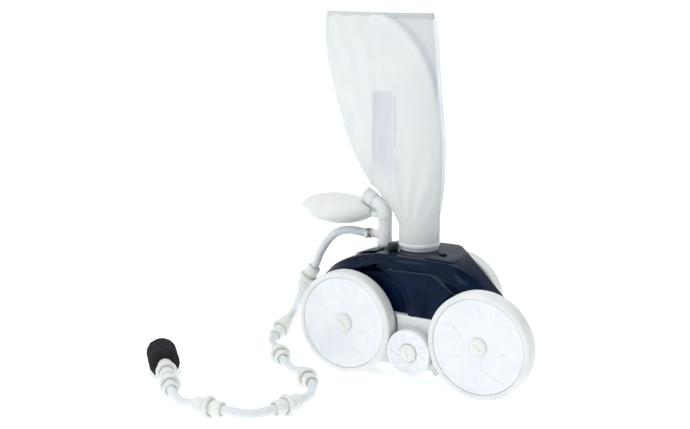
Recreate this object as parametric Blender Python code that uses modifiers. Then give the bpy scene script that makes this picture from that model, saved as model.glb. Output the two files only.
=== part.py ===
"""Pressure-side pool cleaner: three big wheels, a driven idler, a debris bag and a sweep hose.

Metres, +Z up, +X the way it drives, wheels standing on z = 0. The origin is under the middle.
"""
import math

import bmesh
import bpy
from mathutils import Matrix, Vector

# ---- wheels and drive -------------------------------------------------------------------
WHEEL_RADIUS = 0.094
TYRE_WIDTH = 0.030
TYRE_WALL = 0.010
TRACK = 0.270                 # over the outer faces of the tyres
WHEELBASE = 0.264
FRONT_AXLE_X = 0.169
IDLER_CLEARANCE = 0.018       # between the idler and the floor
IDLER_WIDTH = 0.020
IDLER_INSET = 0.001           # how far its face stands back from the tyres' faces
ROLLER_RADIUS = 0.006         # ends of the drive shaft, which rub on two tyres
SHAFT_RADIUS = 0.003
SHAFT_Z = 0.032845
SHAFT_BEARING_RADIUS = 0.0075
TURBINE_RADIUS = 0.0138
TURBINE_HUB = 0.0052
TURBINE_WIDTH = 0.036
TURBINE_BLADES = 8
AXLE_RADIUS = 0.008
BOSS_RADIUS = 0.014
BEARING_RADIUS = 0.0122
SCREW_HEAD_RADIUS = 0.0155
SCREW_SHANK_RADIUS = 0.004

# ---- body -------------------------------------------------------------------------------
BASE_HALF_WIDTH = 0.096
BASE_BOTTOM_Z = 0.014
BASE_EDGE = 0.0112            # tub left standing over the wheels' bosses
BASE_WALL = 0.004
BASE_CORNER = 0.018
POD_DEPTH = 0.012             # how far the side pod stands out between the near wheels
POD_BOTTOM_Z = 0.050
POD_ARCH_GAP = 0.0035         # between the front tyre and the pod's arch
REAR_ARCH_GAP = 0.021         # between the rear tyre and the panel's arch
DECK_RISE = 0.095             # deck over the shell's rim
SHELL_WALL = 0.003
PANEL_DROP = 0.0165           # from the deck to the top of the side panel
PANEL_NOSE = 0.102            # from the front axle back to where the panel's top ends
PANEL_SLANT = 0.0272          # how far the panel's top edge falls to the front tyre
NOSE_REACH = 0.1865           # where the plane that takes off the far front corner meets the rim's level
NOSE_LEAN = 0.75
STEM_RADIUS = 0.004
KNOB_RADIUS = 0.010
KNOB_ANGLE = 215              # round the vacuum tube, degrees from straight ahead
KNOB_GAP = 0.0033             # between the knob and the tube's flange
LATCH_X = 0.050
LATCH_Y = -0.027
LATCH_RADIUS = 0.007

# ---- vacuum tube, bag and feed mast --------------------------------------------------------
TUBE_X = -0.012
TUBE_RADIUS = 0.031
TUBE_WALL = 0.0025
TUBE_RISE = 0.0475            # top of the tube over the deck
FLANGE_LIP = 0.0045
FLANGE_HEIGHT = 0.007
COLLAR_WALL = 0.0032
COLLAR_RISE = 0.0415          # top of the collar over the deck
BAG_WALL = 0.0022
BAG_SIDES = 20
BINDING_HEIGHT = 0.0075
MAST_X = -0.084
MAST_RADIUS = 0.013
MAST_WALL = 0.003
MAST_RISE = 0.0475            # top of the mast over the deck
MAST_FOOT_Z = 0.0803
ELBOW_BEND = 0.020
ELBOW_FOOT = 0.0077           # straight stretch of the elbow before its bend
ELBOW_END = 0.014             # and after it
INLET_LENGTH = 0.024
INLET_ANGLE = 30              # degrees above level, pointing back
MANIFOLD_Z = 0.060
MANIFOLD_RADIUS = 0.007
JET_BALL_RADIUS = 0.012
JET_LENGTH = 0.024
OUTLET_RISE = 0.017           # middle of the outlet over the deck
OUTLET_RADIUS = 0.0075
OUTLET_END_X = -0.111
CLAMP_X = -0.1175
CLAMP_WIDTH = 0.008
CLAMP_WALL = 0.0015
CLAMP_SCREW_RADIUS = 0.0032
FLOAT_X = -0.186
FLOAT_RISE = 0.0106           # middle of the float over the mast's top
FLOAT_HALF = (0.077, 0.050, 0.028)
FLOAT_END_X = -0.113
CLIP_HALF_WIDTH = 0.007
CLIP_RISE = 0.0015            # underside of the clip over the mast's top
CLIP_HEIGHT = 0.0115

# ---- sweep hose ---------------------------------------------------------------------------
HOSE_RADIUS = 0.008
BOBBIN_HALF = 0.026
BOBBIN_PLAY = 0.0025          # round the hose
BOBBIN_WALL = 0.0013
BOBBIN_STEP = 0.0016          # from the neck up to the sleeve
NECK_HALF = 0.0085
RING_RADIUS = 0.019
RING_WIDTH = 0.009
SCRUBBER_RADIUS = 0.028
SCRUBBER_LENGTH = 0.068
SCRUBBER_ROUND = 0.004
SCRUBBER_DEPTH = 0.014        # of the hole that the hose's end goes into

GAP = 0.0003                  # between parts that touch
SLIP = 0.0005                 # round a part that turns or slides

# ---- worked out from the sizes above ----------------------------------------------------------
REAR_AXLE_X = FRONT_AXLE_X - WHEELBASE
TYRE_BORE = WHEEL_RADIUS - TYRE_WALL
TYRE_INNER_Y = TRACK / 2 - TYRE_WIDTH
# The idler rubs on the front and the rear tyre and stays clear of the floor, which sets its radius.
IDLER_X = (FRONT_AXLE_X + REAR_AXLE_X) / 2
TYRE_RISE = WHEEL_RADIUS - IDLER_CLEARANCE
TYRE_REACH = WHEEL_RADIUS + GAP
IDLER_RADIUS = ((WHEELBASE / 2) ** 2 + TYRE_RISE ** 2 - TYRE_REACH ** 2) / (2 * (TYRE_RISE + TYRE_REACH))
IDLER_Z = IDLER_CLEARANCE + IDLER_RADIUS
# The drive shaft rubs on the front and the far tyre, which sets how far apart their axles are.
SHAFT_REACH = WHEEL_RADIUS + ROLLER_RADIUS + GAP
SHAFT_X = FRONT_AXLE_X - math.sqrt(SHAFT_REACH ** 2 - (WHEEL_RADIUS - SHAFT_Z) ** 2)
FAR_AXLE_X = 2 * SHAFT_X - FRONT_AXLE_X
BASE_TOP_Z = WHEEL_RADIUS + BOSS_RADIUS + BASE_EDGE
POD_Y = -(BASE_HALF_WIDTH + POD_DEPTH)
POD_ARCH_RADIUS = WHEEL_RADIUS + POD_ARCH_GAP
REAR_ARCH_RADIUS = WHEEL_RADIUS + REAR_ARCH_GAP
SHELL_BOTTOM_Z = BASE_TOP_Z + GAP
DECK_Z = SHELL_BOTTOM_Z + DECK_RISE
PANEL_TOP_Z = DECK_Z - PANEL_DROP
TUBE_TOP_Z = DECK_Z + TUBE_RISE
COLLAR_TOP_Z = DECK_Z + COLLAR_RISE
MAST_TOP_Z = DECK_Z + MAST_RISE
OUTLET_Z = DECK_Z + OUTLET_RISE
FLANGE_RADIUS = TUBE_RADIUS + FLANGE_LIP
FLANGE_Z = DECK_Z + 2 * GAP
COLLAR_Z = FLANGE_Z + FLANGE_HEIGHT + GAP
KNOB_REACH = FLANGE_RADIUS + KNOB_GAP + KNOB_RADIUS
KNOB_X = TUBE_X + KNOB_REACH * math.cos(math.radians(KNOB_ANGLE))
KNOB_Y = KNOB_REACH * math.sin(math.radians(KNOB_ANGLE))
MAST_BORE = MAST_RADIUS - MAST_WALL
ELBOW_RADIUS = MAST_RADIUS + SLIP
INLET_RADIUS = MAST_RADIUS + 3 * SLIP
FLOAT_CENTRE = (FLOAT_X, 0.0, MAST_TOP_Z + FLOAT_RISE)
BOBBIN_BORE = HOSE_RADIUS + BOBBIN_PLAY
BOBBIN_NECK = BOBBIN_BORE + BOBBIN_WALL
BOBBIN_SLEEVE = BOBBIN_NECK + BOBBIN_STEP
SCRUBBER_BORE = HOSE_RADIUS + CLAMP_WALL

# Route of the sweep hose from its outlet: it drops behind the cleaner and lies on the floor.
ROUTE = [
    (-0.1114, 0.0000, 0.2315), (-0.1340, 0.0000, 0.2315), (-0.1600, 0.0000, 0.2325),
    (-0.1850, -0.0010, 0.2260), (-0.2050, -0.0030, 0.2100), (-0.2220, -0.0060, 0.1840),
    (-0.2355, -0.0087, 0.1514), (-0.2484, -0.0110, 0.1290), (-0.2613, -0.0133, 0.1066),
    (-0.2740, -0.0100, 0.0790), (-0.2930, 0.0040, 0.0490), (-0.3020, -0.0060, 0.0325),
    (-0.3000, -0.0330, 0.0225), (-0.2974, -0.0578, 0.0150), (-0.2830, -0.0900, 0.0145),
    (-0.2600, -0.1160, 0.0165), (-0.2344, -0.1396, 0.0195), (-0.2160, -0.1580, 0.0195),
    (-0.1976, -0.1764, 0.0195), (-0.1620, -0.2000, 0.0150), (-0.1273, -0.2189, 0.0195),
    (-0.1070, -0.2350, 0.0195), (-0.0867, -0.2511, 0.0195), (-0.0660, -0.2870, 0.0150),
    (-0.0601, -0.3319, 0.0195), (-0.0670, -0.3570, 0.0195), (-0.0739, -0.3821, 0.0195),
    (-0.1010, -0.4110, 0.0150), (-0.1441, -0.4279, 0.0195), (-0.1700, -0.4300, 0.0195),
    (-0.1959, -0.4321, 0.0195), (-0.2340, -0.4250, 0.0150), (-0.2714, -0.4031, 0.0195),
    (-0.2900, -0.3850, 0.0195), (-0.3095, -0.3660, 0.0215), (-0.3290, -0.3470, 0.0240),
    (-0.3476, -0.3289, 0.0268), (-0.3590, -0.3178, 0.0283),
]
STATIONS = [7, 12, 17, 21, 25, 29, 33, 35]        # route points that carry a bobbin and a ring
ROUTE_STEPS = 2                                    # tube points for each stretch of the route

# ---- scene and collections ---------------------------------------------------------------------
for old in list(bpy.data.objects):
    bpy.data.objects.remove(old, do_unlink=True)

PARTS = bpy.data.collections.new("pool_cleaner")
CUTTERS = bpy.data.collections.new("cutters")
bpy.context.scene.collection.children.link(PARTS)
bpy.context.scene.collection.children.link(CUTTERS)


def material(name, colour, roughness, metallic=0.0):
    made = bpy.data.materials.new(name)
    made.use_nodes = True
    shader = made.node_tree.nodes["Principled BSDF"]
    shader.inputs["Base Color"].default_value = (*colour, 1.0)
    shader.inputs["Roughness"].default_value = roughness
    shader.inputs["Metallic"].default_value = metallic
    return made


WHITE = material("white_plastic", (0.83, 0.85, 0.86), 0.38)
TYRE = material("tyre_rubber", (0.80, 0.81, 0.80), 0.60)
NAVY = material("navy_gloss", (0.008, 0.030, 0.110), 0.12)
IVORY = material("ivory_plastic", (0.72, 0.74, 0.68), 0.45)
BLACK = material("black_plastic", (0.012, 0.012, 0.014), 0.45)
GREY = material("grey_plastic", (0.16, 0.17, 0.18), 0.50)
STEEL = material("stainless", (0.55, 0.55, 0.52), 0.28, 1.0)
CLOTH = material("bag_cloth", (0.82, 0.84, 0.84), 0.90)
HOSE = material("hose_white", (0.78, 0.81, 0.82), 0.40)
FOAM = material("black_foam", (0.010, 0.011, 0.013), 0.95)


# ---- tools --------------------------------------------------------------------------------------
def add_object(name, mesh, finish):
    """Link a mesh as a part, or as a cutter where it has no finish."""
    made = bpy.data.objects.new(name, mesh)
    if finish is None:
        CUTTERS.objects.link(made)
        made.hide_render = True
        made.display_type = "WIRE"
        return made
    PARTS.objects.link(made)
    mesh.materials.clear()
    mesh.materials.append(finish)
    mesh.shade_smooth()
    mesh.set_sharp_from_angle(angle=math.radians(35))
    return made


def from_bmesh(name, shape, finish):
    mesh = bpy.data.meshes.new(name)
    shape.to_mesh(mesh)
    shape.free()
    return add_object(name, mesh, finish)


def box(name, low, high, finish=None, bevel=0.0):
    """A box between two corners, its edges rounded by bevel."""
    low, high = Vector(low), Vector(high)
    shape = bmesh.new()
    bmesh.ops.create_cube(shape, size=1.0)
    bmesh.ops.transform(shape, matrix=Matrix.Diagonal((*(high - low), 1.0)), verts=shape.verts)
    made = from_bmesh(name, shape, finish)
    made.location = (low + high) / 2
    if bevel:
        round_edges(made, bevel)
    return made


def round_edges(target, width, segments=2):
    rounding = target.modifiers.new("round_edges", "BEVEL")
    rounding.width = width
    rounding.segments = segments
    rounding.limit_method = "ANGLE"
    return rounding


def rod(name, radius, start, end, finish=None, sides=24, tip_radius=None):
    """A round bar from one point to another, or a cone where the tip has its own radius."""
    start, end = Vector(start), Vector(end)
    shape = bmesh.new()
    bmesh.ops.create_cone(shape, cap_ends=True, segments=sides, radius1=radius,
                          radius2=radius if tip_radius is None else tip_radius,
                          depth=(end - start).length)
    made = from_bmesh(name, shape, finish)
    made.location = (start + end) / 2
    made.rotation_euler = (end - start).to_track_quat("Z", "X").to_euler()
    return made


def turned(name, outline, finish=None, steps=32, closed=False):
    """Spin a profile of (radius, height) points about local Z, outer side top to bottom."""
    mesh = bpy.data.meshes.new(name)
    edges = [(i, i + 1) for i in range(len(outline) - 1)]
    if closed:
        edges.append((len(outline) - 1, 0))
    mesh.from_pydata([(radius, 0.0, height) for radius, height in outline], edges, [])
    made = add_object(name, mesh, finish)
    screw = made.modifiers.new("turn", "SCREW")
    screw.steps = steps
    screw.render_steps = steps
    screw.use_merge_vertices = True
    screw.merge_threshold = 0.00001
    return made


def cut(target, cutter, operation="DIFFERENCE"):
    boolean = target.modifiers.new(f"{operation.lower()}_{cutter.name}", "BOOLEAN")
    boolean.operation = operation
    boolean.object = cutter
    boolean.solver = "EXACT"


def curve_to_mesh(curve_object, name, finish):
    """Make a curve object a mesh part with its caps welded on."""
    bpy.context.view_layer.update()
    evaluated = curve_object.evaluated_get(bpy.context.evaluated_depsgraph_get())
    mesh = bpy.data.meshes.new_from_object(evaluated)
    shape = bmesh.new()
    shape.from_mesh(mesh)
    bmesh.ops.remove_doubles(shape, verts=shape.verts, dist=0.00001)
    bmesh.ops.recalc_face_normals(shape, faces=shape.faces)
    shape.to_mesh(mesh)
    shape.free()
    made = add_object(name, mesh, finish)
    made.matrix_world = curve_object.matrix_world
    bpy.data.objects.remove(curve_object, do_unlink=True)
    return made


def tube(name, points, radius, finish=None, resolution=2):
    """A round solid bar along a list of points."""
    curve = bpy.data.curves.new(name, "CURVE")
    curve.dimensions = "3D"
    curve.bevel_depth = radius
    curve.bevel_resolution = resolution
    curve.use_fill_caps = True
    spline = curve.splines.new("POLY")
    spline.points.add(len(points) - 1)
    for spot, point in zip(spline.points, points):
        spot.co = (*point, 1.0)
    path = bpy.data.objects.new(f"{name}_path", curve)
    bpy.context.scene.collection.objects.link(path)
    return curve_to_mesh(path, name, finish)


def extruded(name, outline, low_y, high_y, finish=None):
    """A flat outline of (x, z) points, filled and stood across the cleaner between two y."""
    curve = bpy.data.curves.new(name, "CURVE")
    curve.dimensions = "2D"
    curve.fill_mode = "BOTH"
    curve.extrude = (high_y - low_y) / 2
    spline = curve.splines.new("POLY")
    spline.use_cyclic_u = True
    spline.points.add(len(outline) - 1)
    for spot, (across, up) in zip(spline.points, outline):
        spot.co = (across, up, 0.0, 1.0)
    path = bpy.data.objects.new(f"{name}_path", curve)
    bpy.context.scene.collection.objects.link(path)
    path.rotation_euler = (math.pi / 2, 0.0, 0.0)
    path.location = (0.0, (low_y + high_y) / 2, 0.0)
    return curve_to_mesh(path, name, finish)


def arc(centre_x, centre_z, radius, start, end, count):
    """Points of a round stretch of an outline, angles in degrees from +X towards +Z."""
    points = []
    for i in range(count):
        angle = math.radians(start + (end - start) * i / (count - 1))
        points.append((centre_x + radius * math.cos(angle), centre_z + radius * math.sin(angle)))
    return points


def smooth_route(points, steps):
    """Points on a Catmull-Rom curve through the route's own points."""
    route = [Vector(point) for point in points]
    route = [2 * route[0] - route[1]] + route + [2 * route[-1] - route[-2]]
    smooth = []
    for before, start, end, after in zip(route, route[1:], route[2:], route[3:]):
        for i in range(steps):
            t = i / steps
            smooth.append(0.5 * (2 * start + (end - before) * t
                                 + (2 * before - 5 * start + 4 * end - after) * t * t
                                 + (3 * start - before - 3 * end + after) * t ** 3))
    smooth.append(route[-2])
    return smooth


def loft(name, sections, finish=None):
    """A closed solid through rings with the same number of points, capped at both ends."""
    shape = bmesh.new()
    rings = [[shape.verts.new(point) for point in section] for section in sections]
    for lower, upper in zip(rings, rings[1:]):
        for i in range(len(lower)):
            j = (i + 1) % len(lower)
            shape.faces.new((lower[i], lower[j], upper[j], upper[i]))
    shape.faces.new(rings[0])
    shape.faces.new(rings[-1])
    bmesh.ops.recalc_face_normals(shape, faces=shape.faces)
    return from_bmesh(name, shape, finish)


def aim(target, origin, direction):
    """Put local Z of a turned part along a direction, with its origin at a point."""
    target.location = origin
    target.rotation_euler = Vector(direction).to_track_quat("Z", "X").to_euler()


# ---- wheels: tyre, disc, bearing and axle screw -----------------------------------------------------
def tyre_outline():
    width = TYRE_WIDTH
    radius = WHEEL_RADIUS
    return [(TYRE_BORE, width - 0.0006), (radius - 0.0035, width), (radius - 0.0008, width - 0.0024),
            (radius, width - 0.0060), (radius, 0.0060), (radius - 0.0008, 0.0024),
            (radius - 0.0035, 0.0), (TYRE_BORE, 0.0006)]


def disc_outline():
    bore = BEARING_RADIUS + GAP
    rim = TYRE_BORE - GAP
    face = TYRE_WIDTH - 0.0015
    return [(bore, face - 0.0035), (0.020, face - 0.0030), (0.050, face - 0.0008), (rim - 0.002, face),
            (rim, face - 0.0015), (rim, 0.002), (rim - 0.005, 0.002), (rim - 0.005, face - 0.005),
            (0.020, face - 0.0075), (0.020, 0.006), (bore, 0.006)]


def bearing_outline():
    bore = AXLE_RADIUS + GAP
    return [(bore, 0.0145), (BEARING_RADIUS, 0.0145), (BEARING_RADIUS, 0.0070), (bore, 0.0070)]


def screw_outline(seat, depth):
    """Domed head that bears on a seat height, with a shank down into the axle."""
    head = SCREW_HEAD_RADIUS
    return [(0.0, seat + 0.0060), (0.45 * head, seat + 0.0054), (0.80 * head, seat + 0.0038),
            (head, seat + 0.0010), (head, seat), (SCREW_SHANK_RADIUS, seat),
            (SCREW_SHANK_RADIUS, depth), (0.0, depth)]


def add_screw(name, seat, depth, origin, outward, slot_angle):
    screw = turned(name, screw_outline(seat, depth), IVORY, 16)
    aim(screw, origin, outward)
    slot = box(f"{name}_slot", (-0.010, -0.0013, -0.0020), (0.010, 0.0013, 0.0020))
    spin = Matrix.Rotation(slot_angle, 4, "Z")
    slot.matrix_world = (Matrix.Translation(origin)
                         @ Vector(outward).to_track_quat("Z", "X").to_matrix().to_4x4()
                         @ Matrix.Translation((0.0, 0.0, seat + 0.0060)) @ spin)
    cut(screw, slot)


WHEELS = {
    "rear": (REAR_AXLE_X, -1),
    "front": (FRONT_AXLE_X, -1),
    "far": (FAR_AXLE_X, 1),
}
SCREW_SEAT = TYRE_WIDTH - 0.0015 - 0.0035 + GAP + 0.0006

for place, (axle_x, side) in WHEELS.items():
    hub = (axle_x, side * TYRE_INNER_Y, WHEEL_RADIUS)
    outward = (0.0, side, 0.0)
    aim(turned(f"{place}_tyre", tyre_outline(), TYRE, 32, True), hub, outward)
    aim(turned(f"{place}_wheel_disc", disc_outline(), WHITE, 32, True), hub, outward)
    aim(turned(f"{place}_bearing", bearing_outline(), STEEL, 16, True), hub, outward)
    add_screw(f"{place}_axle_screw", SCREW_SEAT, 0.006, hub, outward, math.radians(50))

# ---- idler: passes the drive from the front wheel to the rear one -----------------------------------
IDLER_HUB = (IDLER_X, -(TRACK / 2 - IDLER_INSET - IDLER_WIDTH), IDLER_Z)
idler = turned("idler_wheel", [
    (AXLE_RADIUS + SLIP, IDLER_WIDTH - 0.003), (0.030, IDLER_WIDTH - 0.001),
    (IDLER_RADIUS - 0.005, IDLER_WIDTH), (IDLER_RADIUS, IDLER_WIDTH - 0.004), (IDLER_RADIUS, 0.002),
    (IDLER_RADIUS - 0.002, 0.0), (AXLE_RADIUS + SLIP, 0.0)], WHITE, 28, True)
aim(idler, IDLER_HUB, (0.0, -1.0, 0.0))
add_screw("idler_screw", IDLER_WIDTH - 0.0018, 0.004, IDLER_HUB, (0.0, -1.0, 0.0), math.radians(20))


# Each station of the hull: x, deck over the rim, how far the rim draws in from the widest, and how
# far the deck's edge stands in from the rim.
HULL_LINES = [
    (-0.188, 0.0205, 0.026, 0.034), (-0.184, 0.0385, 0.018, 0.033), (-0.160, 0.0595, 0.006, 0.032),
    (-0.128, 0.0765, 0.001, 0.029), (-0.095, 0.0875, 0.0, 0.028), (-0.050, 0.0930, 0.0, 0.027),
    (0.000, DECK_RISE, 0.0, 0.025), (0.055, DECK_RISE, 0.0, 0.026), (0.090, 0.0925, 0.0, 0.030),
    (0.120, 0.0765, 0.002, 0.036), (0.140, 0.0565, 0.006, 0.039), (0.155, 0.0365, 0.011, 0.040),
    (0.172, 0.0175, 0.019, 0.039), (0.186, 0.0060, 0.032, 0.032),
]
# The same stations as x, deck height, half width of the rim and half width of the deck.
HULL = [(x, SHELL_BOTTOM_Z + rise, BASE_HALF_WIDTH - drawn, BASE_HALF_WIDTH - drawn - shoulder)
        for x, rise, drawn, shoulder in HULL_LINES]


def nose_wedge(name, inset):
    """A block that lies on the sloping plane which takes off the far front corner."""
    slope = Vector((1.0, NOSE_LEAN, 1.0))
    wedge = box(name, (-0.2, -0.2, -0.1), (0.2, 0.2, 0.1))
    wedge.rotation_euler = slope.to_track_quat("Z", "X").to_euler()
    foot = Vector((NOSE_REACH - inset * slope.length, 0.0, SHELL_BOTTOM_Z))
    wedge.location = foot + slope.normalized() * 0.1
    return wedge


# ---- base: open tub with axle stubs, side pod, suction mouth and shaft holes ---------------------------
def between_stations(x, column):
    """A column of the hull's table at any x, read along straight lines between its stations."""
    for start, end in zip(HULL, HULL[1:]):
        if start[0] <= x <= end[0]:
            return start[column] + (end[column] - start[column]) * (x - start[0]) / (end[0] - start[0])
    return HULL[-1][column]


def deck_height(x):
    return between_stations(x, 1)


def rim_at(x):
    return between_stations(x, 2)


def tub_sections(inset, top_z):
    """Rings across the tub, whose sides stand under the shell's rim and lean in to the floor."""
    sections = []
    for number, (x, _, rim, _) in enumerate(HULL):
        shift = inset * (number == 0) - inset * (number == len(HULL) - 1)
        end_distance = min(x - HULL[0][0], HULL[-1][0] - x)
        lift = BASE_CORNER * max(0.0, 1.0 - end_distance / BASE_CORNER) ** 2
        floor = BASE_BOTTOM_Z + inset + lift
        half = [(rim - inset, top_z), (rim - inset, floor + 0.030), (rim - inset - 0.006, floor + 0.006),
                (rim - inset - 0.014, floor)]
        sections.append([(x + shift, -y, z) for y, z in half]
                        + [(x + shift, y, z) for y, z in reversed(half)])
    return sections


base = loft("base_tub", tub_sections(0.0, BASE_TOP_Z), WHITE)
cut(base, nose_wedge("tub_nose", 0.0))
pod_low = math.degrees(math.asin((POD_BOTTOM_Z - WHEEL_RADIUS) / POD_ARCH_RADIUS))
pod_high = math.degrees(math.asin((BASE_TOP_Z - WHEEL_RADIUS) / POD_ARCH_RADIUS))
pod = extruded("side_pod", [
    *arc(REAR_AXLE_X, WHEEL_RADIUS, POD_ARCH_RADIUS, pod_low, pod_high, 7),
    *arc(FRONT_AXLE_X, WHEEL_RADIUS, POD_ARCH_RADIUS, 180 - pod_high, 180 - pod_low, 7)],
    POD_Y, -BASE_HALF_WIDTH + BASE_WALL / 2)
cut(base, pod, "UNION")
tub_hollow = loft("tub_hollow", tub_sections(BASE_WALL, BASE_TOP_Z + 0.02))
cut(tub_hollow, nose_wedge("hollow_tub_nose", BASE_WALL))
cut(base, tub_hollow)

stubs = [(place, axle_x, WHEEL_RADIUS, side, TYRE_INNER_Y, 0.020)
         for place, (axle_x, side) in WHEELS.items()]
stubs.append(("idler", IDLER_X, IDLER_Z, -1, -IDLER_HUB[1], 0.014))
for place, x, z, side, hub_y, length in stubs:
    inside = side * (rim_at(x) - BASE_WALL / 2)
    cut(base, rod(f"{place}_boss", BOSS_RADIUS, (x, inside, z), (x, side * (hub_y - SLIP), z), sides=16),
        "UNION")
    cut(base, rod(f"{place}_stub", AXLE_RADIUS, (x, inside, z), (x, side * (hub_y + length), z), sides=16),
        "UNION")
    hole_start = side * (hub_y + 0.003)
    cut(base, rod(f"{place}_thread", SCREW_SHANK_RADIUS + GAP, (x, hole_start, z),
                  (x, side * (hub_y + length + 0.002), z), sides=12))
cut(base, rod("shaft_holes", SHAFT_BEARING_RADIUS + GAP, (SHAFT_X, -BASE_HALF_WIDTH - POD_DEPTH, SHAFT_Z),
              (SHAFT_X, BASE_HALF_WIDTH + 0.01, SHAFT_Z), sides=20))
cut(base, rod("suction_mouth", TUBE_RADIUS - TUBE_WALL, (TUBE_X, 0.0, BASE_BOTTOM_Z - 0.01),
              (TUBE_X, 0.0, BASE_BOTTOM_Z + BASE_WALL + 0.01), sides=36))
cut(base, rod("jet_window", JET_BALL_RADIUS + SLIP, (HULL[0][0] - 0.01, 0.0, MANIFOLD_Z),
              (HULL[0][0] + BASE_WALL + 0.01, 0.0, MANIFOLD_Z), sides=20))

# ---- drive: turbine on a cross shaft whose ends rub on the front and far tyres -------------------------
ROLLER_START = BASE_HALF_WIDTH + POD_DEPTH / 2 + 0.001
ROLLER_END = TRACK / 2 - 0.005
shaft = turned("drive_shaft", [
    (0.0, ROLLER_END), (ROLLER_RADIUS - 0.0005, ROLLER_END), (ROLLER_RADIUS, ROLLER_END - 0.0005),
    (ROLLER_RADIUS, ROLLER_START), (SHAFT_RADIUS, ROLLER_START), (SHAFT_RADIUS, -ROLLER_START),
    (ROLLER_RADIUS, -ROLLER_START), (ROLLER_RADIUS, -ROLLER_END + 0.0005),
    (ROLLER_RADIUS - 0.0005, -ROLLER_END), (0.0, -ROLLER_END)], STEEL, 16)
aim(shaft, (SHAFT_X, 0.0, SHAFT_Z), (0.0, 1.0, 0.0))
for place, side in (("near", -1), ("far", 1)):
    bearing = turned(f"{place}_shaft_bearing", [
        (SHAFT_RADIUS + GAP, 0.004), (SHAFT_BEARING_RADIUS, 0.004), (SHAFT_BEARING_RADIUS, -0.004),
        (SHAFT_RADIUS + GAP, -0.004)], BLACK, 20, True)
    aim(bearing, (SHAFT_X, side * (BASE_HALF_WIDTH - BASE_WALL / 2), SHAFT_Z), (0.0, 1.0, 0.0))

blade_points = []
for blade in range(TURBINE_BLADES):
    heading = 360.0 * blade / TURBINE_BLADES
    blade_points += arc(SHAFT_X, SHAFT_Z, TURBINE_RADIUS, heading - 5, heading + 5, 2)
    blade_points += arc(SHAFT_X, SHAFT_Z, TURBINE_HUB, heading + 14, heading + 31, 2)
turbine = extruded("turbine_wheel", blade_points, -TURBINE_WIDTH / 2, TURBINE_WIDTH / 2, BLACK)
cut(turbine, rod("turbine_bore", SHAFT_RADIUS + GAP, (SHAFT_X, -TURBINE_WIDTH, SHAFT_Z),
                 (SHAFT_X, TURBINE_WIDTH, SHAFT_Z), sides=20))

# ---- top shell: a hull over the tub with a side panel between the near wheels ---------------------------
def hull_sections(inset, bottom_z):
    """Rings across the hull, from the near rim over the deck to the far rim."""
    sections = []
    for number, (x, top, rim, deck) in enumerate(HULL):
        shift = inset * (number == 0) - inset * (number == len(HULL) - 1)
        top_z = max(top - inset, bottom_z + 0.002)
        span = top_z - bottom_z
        half = [(rim - inset, bottom_z), (rim - inset, bottom_z + 0.45 * span),
                (rim - inset - 0.004, bottom_z + 0.72 * span),
                (deck + 0.008 - inset, bottom_z + 0.90 * span), (deck - inset, bottom_z + 0.98 * span),
                (0.6 * deck, top_z)]
        sections.append([(x + shift, -y, z) for y, z in half]
                        + [(x + shift, y, z) for y, z in reversed(half)])
    return sections


def panel_outline(inset):
    """Side panel between the near wheels: an arch behind, a slant and the tyre in front."""
    arch = REAR_ARCH_RADIUS + inset
    front = POD_ARCH_RADIUS + inset
    bottom = SHELL_BOTTOM_Z - (0.02 if inset else 0.0)
    low = math.degrees(math.asin((bottom - WHEEL_RADIUS) / arch))
    high = math.degrees(math.asin((PANEL_TOP_Z - inset - WHEEL_RADIUS) / arch))
    front_low = 180 - math.degrees(math.asin((bottom - WHEEL_RADIUS) / front))
    front_high = 180 - math.degrees(math.asin((PANEL_TOP_Z - PANEL_SLANT - inset - WHEEL_RADIUS) / front))
    return [*arc(REAR_AXLE_X, WHEEL_RADIUS, arch, low, high, 8),
            (FRONT_AXLE_X - PANEL_NOSE - inset, PANEL_TOP_Z - inset),
            *arc(FRONT_AXLE_X, WHEEL_RADIUS, front, front_high, front_low, 8)]


shell = loft("top_shell", hull_sections(0.0, SHELL_BOTTOM_Z), NAVY)
cut(shell, nose_wedge("shell_nose", 0.0))
panel_back = -BASE_HALF_WIDTH + 0.012
cut(shell, extruded("panel", panel_outline(0.0), POD_Y, panel_back), "UNION")
shell_hollow = loft("shell_hollow", hull_sections(SHELL_WALL, SHELL_BOTTOM_Z - 0.01))
cut(shell_hollow, nose_wedge("hollow_shell_nose", SHELL_WALL))
cut(shell, shell_hollow)
cut(shell, extruded("panel_hollow", panel_outline(SHELL_WALL), POD_Y + SHELL_WALL, panel_back + 0.004))
cut(shell, rod("tube_hole", TUBE_RADIUS + SLIP, (TUBE_X, 0.0, SHELL_BOTTOM_Z), (TUBE_X, 0.0, DECK_Z + 0.03),
               sides=36))
cut(shell, rod("mast_hole", MAST_RADIUS + SLIP, (MAST_X, 0.0, SHELL_BOTTOM_Z),
               (MAST_X, 0.0, DECK_Z + 0.03)))


def deck_button(name, x, y, radius, height, finish, sides):
    """A round head on the deck with a stem through a hole in the shell."""
    seat = max(deck_height(x - radius), deck_height(x + radius)) + SLIP
    made = turned(name, [(0.0, height), (0.7 * radius, height), (radius, 0.65 * height),
                         (radius, 0.0), (STEM_RADIUS, 0.0), (STEM_RADIUS, -0.012), (0.0, -0.012)],
                  finish, sides)
    made.location = (x, y, seat)
    cut(shell, rod(f"{name}_hole", STEM_RADIUS + SLIP, (x, y, seat - 0.02), (x, y, seat + 0.02), sides=16))
    return made


deck_button("flow_knob", KNOB_X, KNOB_Y, KNOB_RADIUS, 0.012, BLACK, 24)
latch = deck_button("deck_latch", LATCH_X, LATCH_Y, LATCH_RADIUS, 0.004, NAVY, 20)
latch_slot = box("latch_slot", (LATCH_X - 0.006, LATCH_Y - 0.0010, deck_height(LATCH_X) + 0.003),
                 (LATCH_X + 0.006, LATCH_Y + 0.0010, deck_height(LATCH_X) + 0.010))
cut(latch, latch_slot)

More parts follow.
